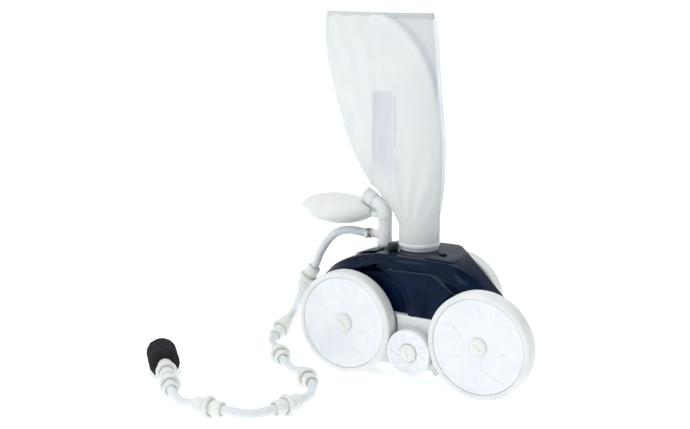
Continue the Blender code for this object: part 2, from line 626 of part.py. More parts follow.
# ---- water side: manifold, thrust jet, mast, elbow and inlet ---------------------------------------------
jet_x = HULL[0][0] + JET_BALL_RADIUS * 0.6
manifold_rear = jet_x + JET_BALL_RADIUS + SLIP
tube_rear = TUBE_X - TUBE_RADIUS
manifold = rod("water_manifold", MANIFOLD_RADIUS, (manifold_rear, 0.0, MANIFOLD_Z),
               (tube_rear - 0.0025, 0.0, MANIFOLD_Z), GREY)
cut(manifold, rod("vacuum_jet", 0.005, (tube_rear - 0.006, 0.0, MANIFOLD_Z),
                  (tube_rear + 0.009, 0.0, MANIFOLD_Z), sides=16), "UNION")
riser = rod("riser", MAST_RADIUS, (MAST_X, 0.0, MANIFOLD_Z), (MAST_X, 0.0, MAST_FOOT_Z - GAP))
cut(manifold, riser, "UNION")

jet_ball = arc(0.0, 0.0, JET_BALL_RADIUS, 54, -72, 8)
jet = turned("thrust_jet", [(0.0, 0.010), (0.003, 0.010), (0.003, JET_LENGTH), (0.0048, JET_LENGTH),
                            *jet_ball, (0.0, -JET_BALL_RADIUS)], BLACK, 16)
aim(jet, (jet_x, 0.0, MANIFOLD_Z), (-1.0, 0.0, 0.0))

mast = turned("feed_mast", [
    (MAST_BORE, MAST_TOP_Z), (MAST_RADIUS, MAST_TOP_Z), (MAST_RADIUS, MAST_FOOT_Z),
    (MAST_BORE, MAST_FOOT_Z)], WHITE, 20, True)
mast.location = (MAST_X, 0.0, 0.0)
cut(mast, rod("outlet", OUTLET_RADIUS, (MAST_X - MAST_BORE - 0.001, 0.0, OUTLET_Z),
              (OUTLET_END_X, 0.0, OUTLET_Z)), "UNION")
cut(mast, rod("outlet_bore", OUTLET_RADIUS - 0.003, (MAST_X, 0.0, OUTLET_Z),
              (OUTLET_END_X - 0.01, 0.0, OUTLET_Z), sides=16))

elbow_start = MAST_TOP_Z + GAP
bend_x = MAST_X - ELBOW_BEND
bend_z = elbow_start + ELBOW_FOOT
elbow_path = [(MAST_X, 0.0, elbow_start)]
elbow_path += [(x, 0.0, z) for x, z in arc(bend_x, bend_z, ELBOW_BEND, 0, 90 - INLET_ANGLE, 6)]
inlet_way = Vector((-math.cos(math.radians(INLET_ANGLE)), 0.0, math.sin(math.radians(INLET_ANGLE))))
elbow_end = Vector(elbow_path[-1]) + inlet_way * ELBOW_END
elbow_path.append(tuple(elbow_end))
elbow = tube("mast_elbow", elbow_path, ELBOW_RADIUS, WHITE, 4)
bore_path = [(MAST_X, 0.0, elbow_start - 0.005), *elbow_path[1:-1], tuple(elbow_end + inlet_way * 0.005)]
cut(elbow, tube("elbow_bore", bore_path, MAST_BORE, None, 4))

inlet_origin = elbow_end + inlet_way * GAP
inlet = turned("inlet_swivel", [
    (MAST_BORE, INLET_LENGTH), (INLET_RADIUS - 0.001, INLET_LENGTH), (INLET_RADIUS, INLET_LENGTH - 0.001),
    (INLET_RADIUS, 0.001), (INLET_RADIUS - 0.001, 0.0), (MAST_BORE, 0.0)], WHITE, 28, True)
aim(inlet, inlet_origin, inlet_way)

# ---- float and its clip on the mast --------------------------------------------------------------------
shape = bmesh.new()
bmesh.ops.create_uvsphere(shape, u_segments=24, v_segments=12, radius=1.0)
bmesh.ops.transform(shape, matrix=Matrix.Diagonal((*FLOAT_HALF, 1.0)), verts=shape.verts)
head_float = from_bmesh("head_float", shape, WHITE)
head_float.location = FLOAT_CENTRE
cut(head_float, box("float_end", (FLOAT_END_X, -FLOAT_HALF[1], MAST_TOP_Z - 0.06),
                    (FLOAT_END_X + 0.03, FLOAT_HALF[1], MAST_TOP_Z + 0.09)))
cut(head_float, rod("float_saddle", INLET_RADIUS + 0.001, inlet_origin - inlet_way * 0.02,
                    inlet_origin + inlet_way * (INLET_LENGTH + 0.03)))
clip_low = (FLOAT_END_X + GAP, -CLIP_HALF_WIDTH, MAST_TOP_Z + CLIP_RISE)
clip_high = (MAST_X - 0.3 * MAST_RADIUS, CLIP_HALF_WIDTH, MAST_TOP_Z + CLIP_RISE + CLIP_HEIGHT)
clip = box("float_clip", clip_low, clip_high, WHITE)
clip_path = [(MAST_X, 0.0, elbow_start - 0.02), *elbow_path[1:]]
cut(clip, tube("clip_seat", clip_path, ELBOW_RADIUS + GAP, None, 4))

# ---- vacuum tube, bag collar and bag ---------------------------------------------------------------------
floor_z = BASE_BOTTOM_Z + BASE_WALL
tube_bore = TUBE_RADIUS - TUBE_WALL
vacuum_tube = turned("vacuum_tube", [
    (tube_bore, TUBE_TOP_Z), (TUBE_RADIUS, TUBE_TOP_Z), (TUBE_RADIUS, FLANGE_Z + FLANGE_HEIGHT),
    (FLANGE_RADIUS, FLANGE_Z + FLANGE_HEIGHT), (FLANGE_RADIUS, FLANGE_Z), (TUBE_RADIUS, FLANGE_Z),
    (TUBE_RADIUS, floor_z + GAP), (tube_bore, floor_z + GAP)], WHITE, 28, True)
vacuum_tube.location = (TUBE_X, 0.0, 0.0)
cut(vacuum_tube, rod("jet_port", 0.005 + SLIP, (tube_rear - 0.005, 0.0, MANIFOLD_Z),
                     (tube_rear + 0.008, 0.0, MANIFOLD_Z), sides=16))

collar_bore = TUBE_RADIUS + GAP
collar_outer = collar_bore + COLLAR_WALL
collar = turned("bag_collar", [(collar_bore, COLLAR_TOP_Z), (collar_outer, COLLAR_TOP_Z),
                               (collar_outer, COLLAR_Z), (collar_bore, COLLAR_Z)], WHITE, 28, True)
collar.location = (TUBE_X, 0.0, 0.0)

# Each level of the bag: height over the deck, rear edge, front edge and half thickness. It widens
# from a round neck that fits the collar.
neck = (collar_outer + GAP) / math.cos(math.pi / BAG_SIDES) + BAG_WALL
BAG_LEVELS = [
    (COLLAR_Z - DECK_Z, TUBE_X - neck, TUBE_X + neck, neck),
    (TUBE_RISE, TUBE_X - neck, TUBE_X + neck, neck),
    (0.0635, -0.060, 0.0265, 0.0370), (0.0855, -0.079, 0.0290, 0.0370), (0.1155, -0.117, 0.0335, 0.0370),
    (0.1455, -0.136, 0.0350, 0.0370), (0.2155, -0.170, 0.0350, 0.0360), (0.3055, -0.198, 0.0230, 0.0290),
    (0.3655, -0.211, 0.0180, 0.0190), (0.4055, -0.212, 0.0130, 0.0110), (0.4200, -0.209, 0.0110, 0.0070),
]
BAG = [(DECK_Z + rise, rear, front, depth) for rise, rear, front, depth in BAG_LEVELS]


def bag_rings(inset, bottom_z, top_z):
    rings = []
    for number, (height, rear, front, depth) in enumerate(BAG):
        if number == 0:
            height = bottom_z
        if number == len(BAG) - 1:
            height = top_z
        middle = (rear + front) / 2
        half = (front - rear) / 2 - inset
        ring = []
        for i in range(BAG_SIDES):
            angle = 2 * math.pi * i / BAG_SIDES
            ring.append((middle + half * math.cos(angle), (depth - inset) * math.sin(angle), height))
        rings.append(ring)
    return rings


bag = loft("debris_bag", bag_rings(0.0, COLLAR_Z, BAG[-1][0]), CLOTH)
cut(bag, loft("bag_inside", bag_rings(BAG_WALL, COLLAR_Z - 0.01, BAG[-1][0] - 0.003)))
binding_z = BAG[-1][0] + GAP
box("bag_top_binding", (BAG[-1][1], -0.005, binding_z), (BAG[-1][2], 0.005, binding_z + BINDING_HEIGHT),
    CLOTH, 0.001)

# ---- sweep hose with its clamp, bobbins, wear rings and foam scrubber ------------------------------------
tube("sweep_hose", smooth_route(ROUTE, ROUTE_STEPS), HOSE_RADIUS, HOSE, 2)
clamp = turned("hose_clamp", [
    (HOSE_RADIUS + GAP, CLAMP_WIDTH / 2), (HOSE_RADIUS + CLAMP_WALL, CLAMP_WIDTH / 2),
    (HOSE_RADIUS + CLAMP_WALL, -CLAMP_WIDTH / 2), (HOSE_RADIUS + GAP, -CLAMP_WIDTH / 2)], STEEL, 24, True)
aim(clamp, (CLAMP_X, 0.0, OUTLET_Z), (1.0, 0.0, 0.0))
screw_y = -(HOSE_RADIUS + CLAMP_WALL + GAP + CLAMP_SCREW_RADIUS)
rod("clamp_screw", CLAMP_SCREW_RADIUS, (CLAMP_X, screw_y, OUTLET_Z - 0.007),
    (CLAMP_X, screw_y, OUTLET_Z + 0.007), STEEL, 12)

for number, station in enumerate(STATIONS, 1):
    centre = Vector(ROUTE[station])
    along = Vector(ROUTE[station + 1]) - Vector(ROUTE[station - 1])
    bobbin = turned(f"bobbin_{number}", [
        (BOBBIN_BORE, BOBBIN_HALF), (BOBBIN_SLEEVE, BOBBIN_HALF), (BOBBIN_SLEEVE, NECK_HALF),
        (BOBBIN_NECK, NECK_HALF), (BOBBIN_NECK, -NECK_HALF), (BOBBIN_SLEEVE, -NECK_HALF),
        (BOBBIN_SLEEVE, -BOBBIN_HALF), (BOBBIN_BORE, -BOBBIN_HALF)], IVORY, 12, True)
    aim(bobbin, centre, along)
    bore = BOBBIN_NECK + SLIP
    half = RING_WIDTH / 2
    ring = turned(f"wear_ring_{number}", [
        (bore, half * 0.6), (RING_RADIUS - 0.0035, half), (RING_RADIUS, half * 0.3),
        (RING_RADIUS, -half * 0.3), (RING_RADIUS - 0.0035, -half), (bore, -half * 0.6)], IVORY, 18, True)
    aim(ring, centre, along)

scrub_way = (Vector(ROUTE[-1]) - Vector(ROUTE[-2])).normalized()
scrub_way.z = 0.0
scrub_start = Vector(ROUTE[-1]) - scrub_way * 0.0115
scrubber = turned("foam_scrubber", [
    (0.0, SCRUBBER_LENGTH), (SCRUBBER_RADIUS - SCRUBBER_ROUND, SCRUBBER_LENGTH),
    (SCRUBBER_RADIUS, SCRUBBER_LENGTH - SCRUBBER_ROUND), (SCRUBBER_RADIUS, SCRUBBER_ROUND),
    (SCRUBBER_RADIUS - SCRUBBER_ROUND, 0.0), (SCRUBBER_BORE, 0.0), (SCRUBBER_BORE, SCRUBBER_DEPTH),
    (0.0, SCRUBBER_DEPTH)], FOAM, 20)
aim(scrubber, scrub_start, scrub_way)
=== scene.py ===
"""Pool cleaner with three big wheels, a debris bag, a head float and a sweep hose.

Metres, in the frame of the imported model: +X the way it drives, wheels standing on z = 0.
"""
from bisect import bisect_left
import math

import bpy
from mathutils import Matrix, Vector, noise


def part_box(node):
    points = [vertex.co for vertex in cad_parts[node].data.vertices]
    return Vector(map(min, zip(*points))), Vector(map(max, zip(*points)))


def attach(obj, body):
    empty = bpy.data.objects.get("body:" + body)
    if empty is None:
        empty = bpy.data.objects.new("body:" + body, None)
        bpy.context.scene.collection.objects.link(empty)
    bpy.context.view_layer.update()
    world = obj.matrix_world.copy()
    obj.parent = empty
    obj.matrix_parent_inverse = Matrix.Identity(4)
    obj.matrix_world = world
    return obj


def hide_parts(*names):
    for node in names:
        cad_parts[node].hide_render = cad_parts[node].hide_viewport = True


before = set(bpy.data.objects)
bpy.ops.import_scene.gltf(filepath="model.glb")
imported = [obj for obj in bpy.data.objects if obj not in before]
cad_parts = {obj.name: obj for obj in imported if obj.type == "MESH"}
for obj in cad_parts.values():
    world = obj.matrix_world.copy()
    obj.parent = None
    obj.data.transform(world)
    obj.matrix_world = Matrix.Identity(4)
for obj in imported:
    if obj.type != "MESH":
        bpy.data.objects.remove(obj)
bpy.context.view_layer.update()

# ---- camera ----
# A long lens at chair height, ahead of the near wheels and to one side, as a shop picture is taken.
bpy.ops.object.camera_add(location=(0.891, -1.755, 0.700))
camera = bpy.context.object
camera.name = "shop_camera"
aim_point = Vector((-0.1626, -0.0150, 0.2644))
camera.rotation_euler = (aim_point - camera.location).to_track_quat("-Z", "Y").to_euler()
camera.data.sensor_width = 36.0
camera.data.lens = 57.4
bpy.context.scene.camera = camera

# ---- floor and light ----
# A pale sweep of paper under a bright room, one broad key from the upper left and one overhead.
bpy.ops.mesh.primitive_plane_add(size=90.0, location=(0.0, 0.0, 0.0))
floor = bpy.context.object
floor.name = "studio_paper"
paper = bpy.data.materials.new("studio_paper")
paper.use_nodes = True
paper_sockets = paper.node_tree.nodes["Principled BSDF"].inputs
paper_sockets["Base Color"].default_value = (0.93, 0.93, 0.93, 1.0)
paper_sockets["Roughness"].default_value = 0.85
paper_sockets["Emission Color"].default_value = (0.97, 1.0, 1.0, 1.0)
paper_sockets["Emission Strength"].default_value = 0.44
floor.data.materials.append(paper)

world = bpy.context.scene.world or bpy.data.worlds.new("room")
bpy.context.scene.world = world
world.use_nodes = True
room_sockets = world.node_tree.nodes["Background"].inputs
room_sockets["Color"].default_value = (0.96, 0.98, 1.0, 1.0)
room_sockets["Strength"].default_value = 0.53
bpy.context.scene.view_settings.view_transform = "Standard"


def softbox(name, location, target, size, power):
    bpy.ops.object.light_add(type="AREA", location=location)
    lamp = bpy.context.object
    lamp.name = name
    lamp.data.shape = "SQUARE"
    lamp.data.size = size
    lamp.data.energy = power
    lamp.rotation_euler = (Vector(target) - lamp.location).to_track_quat("-Z", "Y").to_euler()
    return lamp


softbox("key_softbox", (-1.3, -1.9, 2.1), (0.0, 0.0, 0.15), 1.3, 14.0)
softbox("top_softbox", (0.3, 0.9, 2.3), (0.0, 0.0, 0.15), 1.6, 15.0)
bpy.ops.object.light_add(type="SUN", location=(0.0, 0.0, 3.0), rotation=(0.35, -0.25, 0.0))
bpy.context.object.name = "room_glow"
bpy.context.object.data.energy = 0.68
bpy.context.object.data.angle = 1.2

# ---- sweep hose ----
# White vinyl hose, 16 mm thick, clamped to the outlet on the mast. It hangs down behind the
# cleaner and trails over the floor in loose curves. The route is the one that the solids follow.
HOSE_ROUTE = [
    (-0.1114, 0.0000, 0.2315), (-0.1340, 0.0000, 0.2315), (-0.1600, 0.0000, 0.2325),
    (-0.1850, -0.0010, 0.2260), (-0.2050, -0.0030, 0.2100), (-0.2220, -0.0060, 0.1840),
    (-0.2355, -0.0087, 0.1514), (-0.2484, -0.0110, 0.1290), (-0.2613, -0.0133, 0.1066),
    (-0.2740, -0.0100, 0.0790), (-0.2930, 0.0040, 0.0490), (-0.3020, -0.0060, 0.0325),
    (-0.3000, -0.0330, 0.0225), (-0.2974, -0.0578, 0.0150), (-0.2830, -0.0900, 0.0145),
    (-0.2600, -0.1160, 0.0165), (-0.2344, -0.1396, 0.0195), (-0.2160, -0.1580, 0.0195),
    (-0.1976, -0.1764, 0.0195), (-0.1620, -0.2000, 0.0150), (-0.1273, -0.2189, 0.0195),
    (-0.1070, -0.2350, 0.0195), (-0.0867, -0.2511, 0.0195), (-0.0660, -0.2870, 0.0150),
    (-0.0601, -0.3319, 0.0195), (-0.0670, -0.3570, 0.0195), (-0.0739, -0.3821, 0.0195),
    (-0.1010, -0.4110, 0.0150), (-0.1441, -0.4279, 0.0195), (-0.1700, -0.4300, 0.0195),
    (-0.1959, -0.4321, 0.0195), (-0.2340, -0.4250, 0.0150), (-0.2714, -0.4031, 0.0195),
    (-0.2900, -0.3850, 0.0195), (-0.3095, -0.3660, 0.0215), (-0.3290, -0.3470, 0.0240),
    (-0.3476, -0.3289, 0.0268), (-0.3590, -0.3178, 0.0283),
]
HOSE_RADIUS = 0.008


def through(before, start, end, after, t):
    """A point between start and end, on the smooth curve through all four."""
    return 0.5 * (2 * start + (end - before) * t + (2 * before - 5 * start + 4 * end - after) * t * t
                  + (3 * start - before - 3 * end + after) * t ** 3)


def smooth_route(points, steps):
    """Points on a smooth curve that passes through all of a route's own points."""
    route = [Vector(point) for point in points]
    route = [2 * route[0] - route[1]] + route + [2 * route[-1] - route[-2]]
    smooth = []
    for four in zip(route, route[1:], route[2:], route[3:]):
        smooth += [through(*four, i / steps) for i in range(steps)]
    return [*smooth, route[-2]]


def strand(name, points, radius, resolution=6):
    """A round cord, thread or wire along a list of points."""
    curve = bpy.data.curves.new(name, "CURVE")
    curve.dimensions = "3D"
    curve.bevel_depth = radius
    curve.bevel_resolution = resolution
    curve.use_fill_caps = True
    spline = curve.splines.new("POLY")
    spline.points.add(len(points) - 1)
    for spot, point in zip(spline.points, points):
        spot.co = (*point, 1.0)
    spline.use_smooth = True
    made = bpy.data.objects.new(name, curve)
    bpy.context.scene.collection.objects.link(made)
    return made


class Signal:
    """A shader socket that can be added, taken away, scaled and divided like a number."""

    def __init__(self, tree, socket=None):
        self.tree = tree
        self.socket = socket

    def feed(self, target, value):
        """Link or set one socket."""
        if isinstance(value, Signal):
            self.tree.links.new(value.socket, target)
        elif isinstance(value, tuple) and target.type == "RGBA":
            target.default_value = (*value, 1.0)
        else:
            target.default_value = value

    def node(self, kind, settings=None, inputs=None, output=0):
        """Add any node: its settings first, then the values or links of its sockets."""
        made = self.tree.nodes.new(kind)
        for name, value in (settings or {}).items():
            setattr(made, name, value)
        for name, value in (inputs or {}).items():
            self.feed(made.inputs[name], value)
        return Signal(self.tree, made.outputs[output])

    def sum(self, operation, one, two):
        return self.node("ShaderNodeMath", {"operation": operation}, {0: one, 1: two})

    def __add__(self, other):
        return self.sum("ADD", self, other)

    def __sub__(self, other):
        return self.sum("SUBTRACT", self, other)

    def __rsub__(self, other):
        return self.sum("SUBTRACT", other, self)

    def __mul__(self, other):
        return self.sum("MULTIPLY", self, other)

    __radd__ = __add__
    __rmul__ = __mul__

    def between(self, low, high):
        """0 below low, 1 above high, with an eased change between them."""
        return self.node("ShaderNodeMapRange", {"interpolation_type": "SMOOTHSTEP"},
                         {"Value": self, "From Min": low, "From Max": high})

    def mix(self, low, high):
        """The colour low where this is 0 and the colour high where it is 1."""
        return self.node("ShaderNodeMix", {"data_type": "RGBA"}, {0: self, 6: low, 7: high}, 2)

    def cloud(self, scale, detail=2.0):
        """Noise that follows this vector, with a given number of lumps to the metre."""
        return self.node("ShaderNodeTexNoise", None, {"Vector": self, "Scale": scale, "Detail": detail})

    def relief(self, distance, strength=1.0):
        """A normal for a surface that stands up by this height times a distance in metres."""
        return self.node("ShaderNodeBump", None,
                         {"Height": self, "Distance": distance, "Strength": strength})


def finish(name, colour, roughness, metallic=0.0, specular=0.5):
    """A new material, the tool that feeds its shader, and the position that its pattern reads."""
    made = bpy.data.materials.new(name)
    made.use_nodes = True
    sockets = made.node_tree.nodes["Principled BSDF"].inputs
    sockets["Base Color"].default_value = (*colour, 1.0)
    sockets["Roughness"].default_value = roughness
    sockets["Metallic"].default_value = metallic
    sockets["Specular IOR Level"].default_value = specular
    place = Signal(made.node_tree).node("ShaderNodeTexCoord", output="Object")
    return made, lambda socket, value: place.feed(sockets[socket], value), place


def moulded(name, colour, shade, roughness, grain=0.00005, specular=0.5):
    """Moulded plastic or rubber: a faint cloud in its colour, handling marks and a fine grain."""
    made, feed, place = finish(name, colour, roughness, specular=specular)
    feed("Base Color", place.cloud(26.0, 4.0).between(0.38, 0.68).mix(colour, shade))
    marks = place.cloud(150.0, 5.0).between(0.50, 0.72)
    feed("Roughness", marks * 0.10 + roughness)
    height = place.cloud(1400.0, 2.0) + place.cloud(260.0, 2.0) * 0.6
    feed("Normal", height.relief(grain))
    return made


hose_vinyl = moulded("hose_vinyl", (0.79, 0.83, 0.86), (0.72, 0.77, 0.80), 0.32)
hose_points = smooth_route(HOSE_ROUTE, 6)
hose_length = sum((b - a).length for a, b in zip(hose_points, hose_points[1:]))
hose = strand("sweep_hose_vinyl", hose_points, HOSE_RADIUS)
hose.data.materials.append(hose_vinyl)
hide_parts("sweep_hose")
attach(hose, "chassis")

# ---- bobbins and wear rings ----
# Ivory moulded sleeves threaded on the hose, each with a loose ring that rolls on the floor and
# keeps the hose from wearing through. Turned shapes: an outline is drawn and spun about the hose.
STATIONS = [7, 12, 17, 21, 25, 29, 33, 35]
BOBBIN_HALF = 0.026
NECK_HALF = 0.0085
RING_RADIUS = 0.019
RING_HALF = 0.0045


def arc(across, up, radius, start, end, count):
    """A round stretch of an outline, angles in degrees."""
    stretch = []
    for i in range(count):
        angle = math.radians(start + (end - start) * i / (count - 1))
        stretch.append((across + radius * math.cos(angle), up + radius * math.sin(angle)))
    return stretch


def release():
    """Let go of everything, so that the next tool acts on one piece only."""
    if bpy.context.mode != "OBJECT":
        bpy.ops.object.mode_set(mode="OBJECT")
    bpy.ops.object.select_all(action="DESELECT")


def pick(piece):
    release()
    piece.select_set(True)
    bpy.context.view_layer.objects.active = piece


def close_up(merge=0.000005):
    """Merge doubled points, point every face outwards and leave the piece."""
    bpy.ops.mesh.select_all(action="SELECT")
    bpy.ops.mesh.remove_doubles(threshold=merge)
    bpy.ops.mesh.normals_make_consistent(inside=False)
    release()


def set_down(piece):
    """Write a piece's place, turn and scale into its mesh."""
    pick(piece)
    bpy.ops.object.transform_apply(location=True, rotation=True, scale=True)
    return piece


def turn(name, outline, steps=64):
    """Draw an outline of (radius, height) points one by one and spin it about local Z."""
    release()
    bpy.ops.mesh.primitive_plane_add(size=0.002, location=(0.0, 0.0, 0.0), enter_editmode=True)
    bpy.ops.mesh.select_mode(type="VERT")
    bpy.ops.mesh.select_all(action="SELECT")
    bpy.ops.mesh.merge(type="CENTER")
    bpy.ops.transform.translate(value=(outline[0][0], 0.0, outline[0][1]))
    for start, end in zip(outline, outline[1:]):
        step = (end[0] - start[0], 0.0, end[1] - start[1])
        bpy.ops.mesh.extrude_vertices_move(TRANSFORM_OT_translate={"value": step})
    bpy.ops.mesh.select_all(action="SELECT")
    bpy.ops.mesh.remove_doubles(threshold=0.000005)
    bpy.ops.mesh.spin(steps=steps, angle=2 * math.pi, center=(0.0, 0.0, 0.0), axis=(0.0, 0.0, 1.0))
    close_up()
    piece = bpy.context.view_layer.objects.active
    piece.name = name
    return piece


def stand(piece, origin, along=(0.0, 0.0, 1.0)):
    """Put a turned piece on its axis and write the place into its mesh."""
    piece.location = origin
    piece.rotation_euler = Vector(along).to_track_quat("Z", "X").to_euler()
    return set_down(piece)


def settle(piece, material, body, slot, *nodes, angle=38):
    """Shade a finished piece, and give it its material, body and the solids it stands for. The slot
    argument is not used.
    """
    pick(piece)
    bpy.ops.object.shade_smooth_by_angle(angle=math.radians(angle))
    piece.data.materials.clear()
    piece.data.materials.append(material)
    if nodes:
        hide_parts(*nodes)
    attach(piece, body)
    return piece


ivory = moulded("ivory_plastic", (0.84, 0.86, 0.82), (0.78, 0.81, 0.76), 0.40)
bobbin_outline = [
    (0.0088, BOBBIN_HALF - 0.0012), (0.0100, BOBBIN_HALF), (0.0120, BOBBIN_HALF),
    *arc(0.0120, BOBBIN_HALF - 0.0014, 0.0014, 80, 0, 4), (0.0134, NECK_HALF + 0.0030),
    (0.0128, NECK_HALF + 0.0004), (0.0118, NECK_HALF), (0.0118, -NECK_HALF),
    (0.0128, -NECK_HALF - 0.0004), (0.0134, -NECK_HALF - 0.0030),
    *arc(0.0120, -BOBBIN_HALF + 0.0014, 0.0014, 0, -80, 4), (0.0120, -BOBBIN_HALF),
    (0.0100, -BOBBIN_HALF), (0.0088, -BOBBIN_HALF + 0.0012), (0.0088, BOBBIN_HALF - 0.0012)]
ring_outline = [
    (0.0123, 0.0026), (0.0136, 0.0042), *arc(RING_RADIUS - 0.0030, RING_HALF - 0.0030, 0.0030, 90, 0, 6),
    *arc(RING_RADIUS - 0.0030, -RING_HALF + 0.0030, 0.0030, 0, -90, 6),
    (0.0136, -0.0042), (0.0123, -0.0026), (0.0123, 0.0026)]
hose_fittings = []
for number, station in enumerate(STATIONS, 1):
    along = Vector(HOSE_ROUTE[station + 1]) - Vector(HOSE_ROUTE[station - 1])
    bobbin = stand(turn(f"hose_bobbin_{number}", bobbin_outline, 40), HOSE_ROUTE[station], along)
    settle(bobbin, ivory, "chassis", "ivory_plastic", f"bobbin_{number}")
    ring = stand(turn(f"roller_ring_{number}", ring_outline, 48), HOSE_ROUTE[station], along)
    settle(ring, ivory, f"ring_{number}", "ivory_plastic", f"wear_ring_{number}")
    hose_fittings += [bobbin, ring]

# ---- foam scrubber ----
# A stubby roll of black open-cell foam pushed over the end of the hose. Its skin is lumpy and
# full of small pits, made by moving the points of a finely turned shape.
SCRUBBER_RADIUS = 0.0272
SCRUBBER_LENGTH = 0.068
SCRUBBER_FACE = SCRUBBER_RADIUS * 0.86
SCRUBBER_ROUND = 0.0038
SCRUBBER_BORE = 0.0086
FOAM_ROWS = 84

side_top = SCRUBBER_LENGTH - SCRUBBER_ROUND
side_length = SCRUBBER_LENGTH - 2 * SCRUBBER_ROUND
foam_outline = [(SCRUBBER_FACE * i / 22, SCRUBBER_LENGTH) for i in range(23)]
foam_outline += arc(SCRUBBER_FACE, side_top, SCRUBBER_ROUND, 80, 0, 5)
foam_outline += [(SCRUBBER_RADIUS, side_top - side_length * i / FOAM_ROWS) for i in range(1, FOAM_ROWS + 1)]
foam_outline += arc(SCRUBBER_FACE, SCRUBBER_ROUND, SCRUBBER_ROUND, -10, -90, 5)
foam_outline += [(SCRUBBER_FACE - (SCRUBBER_FACE - SCRUBBER_BORE) * i / 16, 0.0) for i in range(1, 17)]
foam_outline += [(0.0083, 0.0060), (0.0, 0.0060)]
scrubber = turn("hose_scrubber_foam", foam_outline, 190)
for vertex in scrubber.data.vertices:
    spot = vertex.co
    if spot.xy.length < 0.0087 and spot.z < 0.03:
        continue
    lumps = noise.noise(spot * 70.0) * 0.0007 + noise.noise(spot * 190.0) * 0.0006
    pits = min(0.0, noise.noise(spot * 420.0) - 0.05) * 0.0030
    middle = Vector((0.0, 0.0, min(max(spot.z, 0.012), SCRUBBER_LENGTH - 0.012)))
    vertex.co = spot + (spot - middle).normalized() * (lumps + pits)
scrub_way = Vector(HOSE_ROUTE[-1]) - Vector(HOSE_ROUTE[-2])
scrub_way.normalize()
scrub_way.z = 0.0
stand(scrubber, Vector(HOSE_ROUTE[-1]) - scrub_way * 0.0115, scrub_way)
foam, foam_feed, foam_place = finish("black_foam", (0.012, 0.013, 0.016), 0.95, specular=0.2)
cells = foam_place.node("ShaderNodeTexVoronoi", None, {"Vector": foam_place, "Scale": 620.0})
foam_feed("Base Color", cells.between(0.05, 0.6).mix((0.006, 0.006, 0.008), (0.030, 0.032, 0.038)))
foam_feed("Normal", cells.relief(0.0006))
settle(scrubber, foam, "chassis", "black_foam", "foam_scrubber", angle=60)

# ---- hose clamp ----
# A stainless worm-drive band that grips the hose on the outlet, with its screw housing at the
# near side. The band is a turned strip, the housing a rounded block with the worm through it.
CLAMP_X = -0.1175
OUTLET_Z = 0.2315


def apply_modifiers(piece):
    pick(piece)
    for modifier in list(piece.modifiers):
        bpy.ops.object.modifier_apply(modifier=modifier.name)


def round_edges(piece, width, segments=2, angle=32):
    """Round every edge that is sharper than an angle."""
    rounding = piece.modifiers.new("round_edges", "BEVEL")
    rounding.width = width
    rounding.segments = segments
    rounding.limit_method = "ANGLE"
    rounding.angle_limit = math.radians(angle)
    apply_modifiers(piece)
    return piece


def join(main, *others):
    """Make several pieces one mesh."""
    pick(main)
    for other in others:
        other.select_set(True)
    bpy.ops.object.join()


def block(name, location, scale, turned=0.0):
    """A square block, turned about Z by some degrees."""
    release()
    bpy.ops.mesh.primitive_cube_add(size=1.0, location=location, scale=scale,
                                    rotation=(0.0, 0.0, math.radians(turned)))
    made = bpy.context.object
    made.name = name
    return made


stainless, steel_feed, steel_place = finish("stainless_steel", (0.56, 0.56, 0.53), 0.30, 1.0)
brushed = steel_place.node("ShaderNodeMapping", None,
                           {"Vector": steel_place, "Scale": (4.0, 1.0, 1.0)}).cloud(900.0, 3.0)
steel_feed("Roughness", brushed * 0.18 + 0.20)
steel_feed("Base Color", steel_place.cloud(90.0, 3.0).mix((0.44, 0.44, 0.41), (0.66, 0.66, 0.62)))
steel_feed("Normal", brushed.relief(0.00003))

band = turn("clamp_band", [(0.0082, 0.0040), (0.0092, 0.0040), (0.0094, 0.0036), (0.0094, -0.0036),
                           (0.0092, -0.0040), (0.0082, -0.0040), (0.0082, 0.0040)], 72)
for face in band.data.polygons:
    heading = math.degrees(math.atan2(face.center.y, face.center.x)) % 15.0
    face.select = face.center.xy.length > 0.0093 and abs(face.center.z) < 0.003 and heading < 5.0
pick(band)
bpy.ops.object.mode_set(mode="EDIT")
bpy.ops.mesh.select_mode(type="FACE")
bpy.ops.mesh.inset(thickness=0.00025, depth=-0.0005, use_individual=True)
release()
stand(band, (CLAMP_X, 0.0, OUTLET_Z), (1.0, 0.0, 0.0))
settle(band, stainless, "chassis", "stainless", "hose_clamp")

housing = set_down(block("clamp_worm", (CLAMP_X, -0.0122, OUTLET_Z), (0.0086, 0.0062, 0.0110)))
round_edges(housing, 0.0012, 3)
worm = stand(turn("worm_screw", [
    (0.0, 0.0082), (0.0012, 0.0082), (0.0014, 0.0074), (0.0030, 0.0078), (0.0033, 0.0070), (0.0033, 0.0052),
    (0.0026, 0.0050), (0.0026, -0.0072), (0.0, -0.0074)], 24), (CLAMP_X, -0.0130, OUTLET_Z))
join(housing, worm)
settle(housing, stainless, "chassis", "stainless", "clamp_screw")

# ---- feed mast, elbow and inlet swivel ----
# White pipe that stands up through the deck and feeds the cleaner. An elbow leans back from its
# top and ends in a swivel ring for the supply hose. The pipe and ring are turned, the elbow spun.
MAST_X = -0.084
MAST_TOP_Z = 0.262
INLET_WAY = Vector((-math.cos(math.radians(30)), 0.0, math.sin(math.radians(30))))
BEND_RADIUS = 0.020
BEND_CENTRE = Vector((MAST_X - BEND_RADIUS, 0.0, 0.2700))

def give_wall(piece, thickness):
    """Thicken a shell inwards."""
    wall = piece.modifiers.new("wall", "SOLIDIFY")
    wall.thickness = thickness
    wall.offset = -1.0
    apply_modifiers(piece)


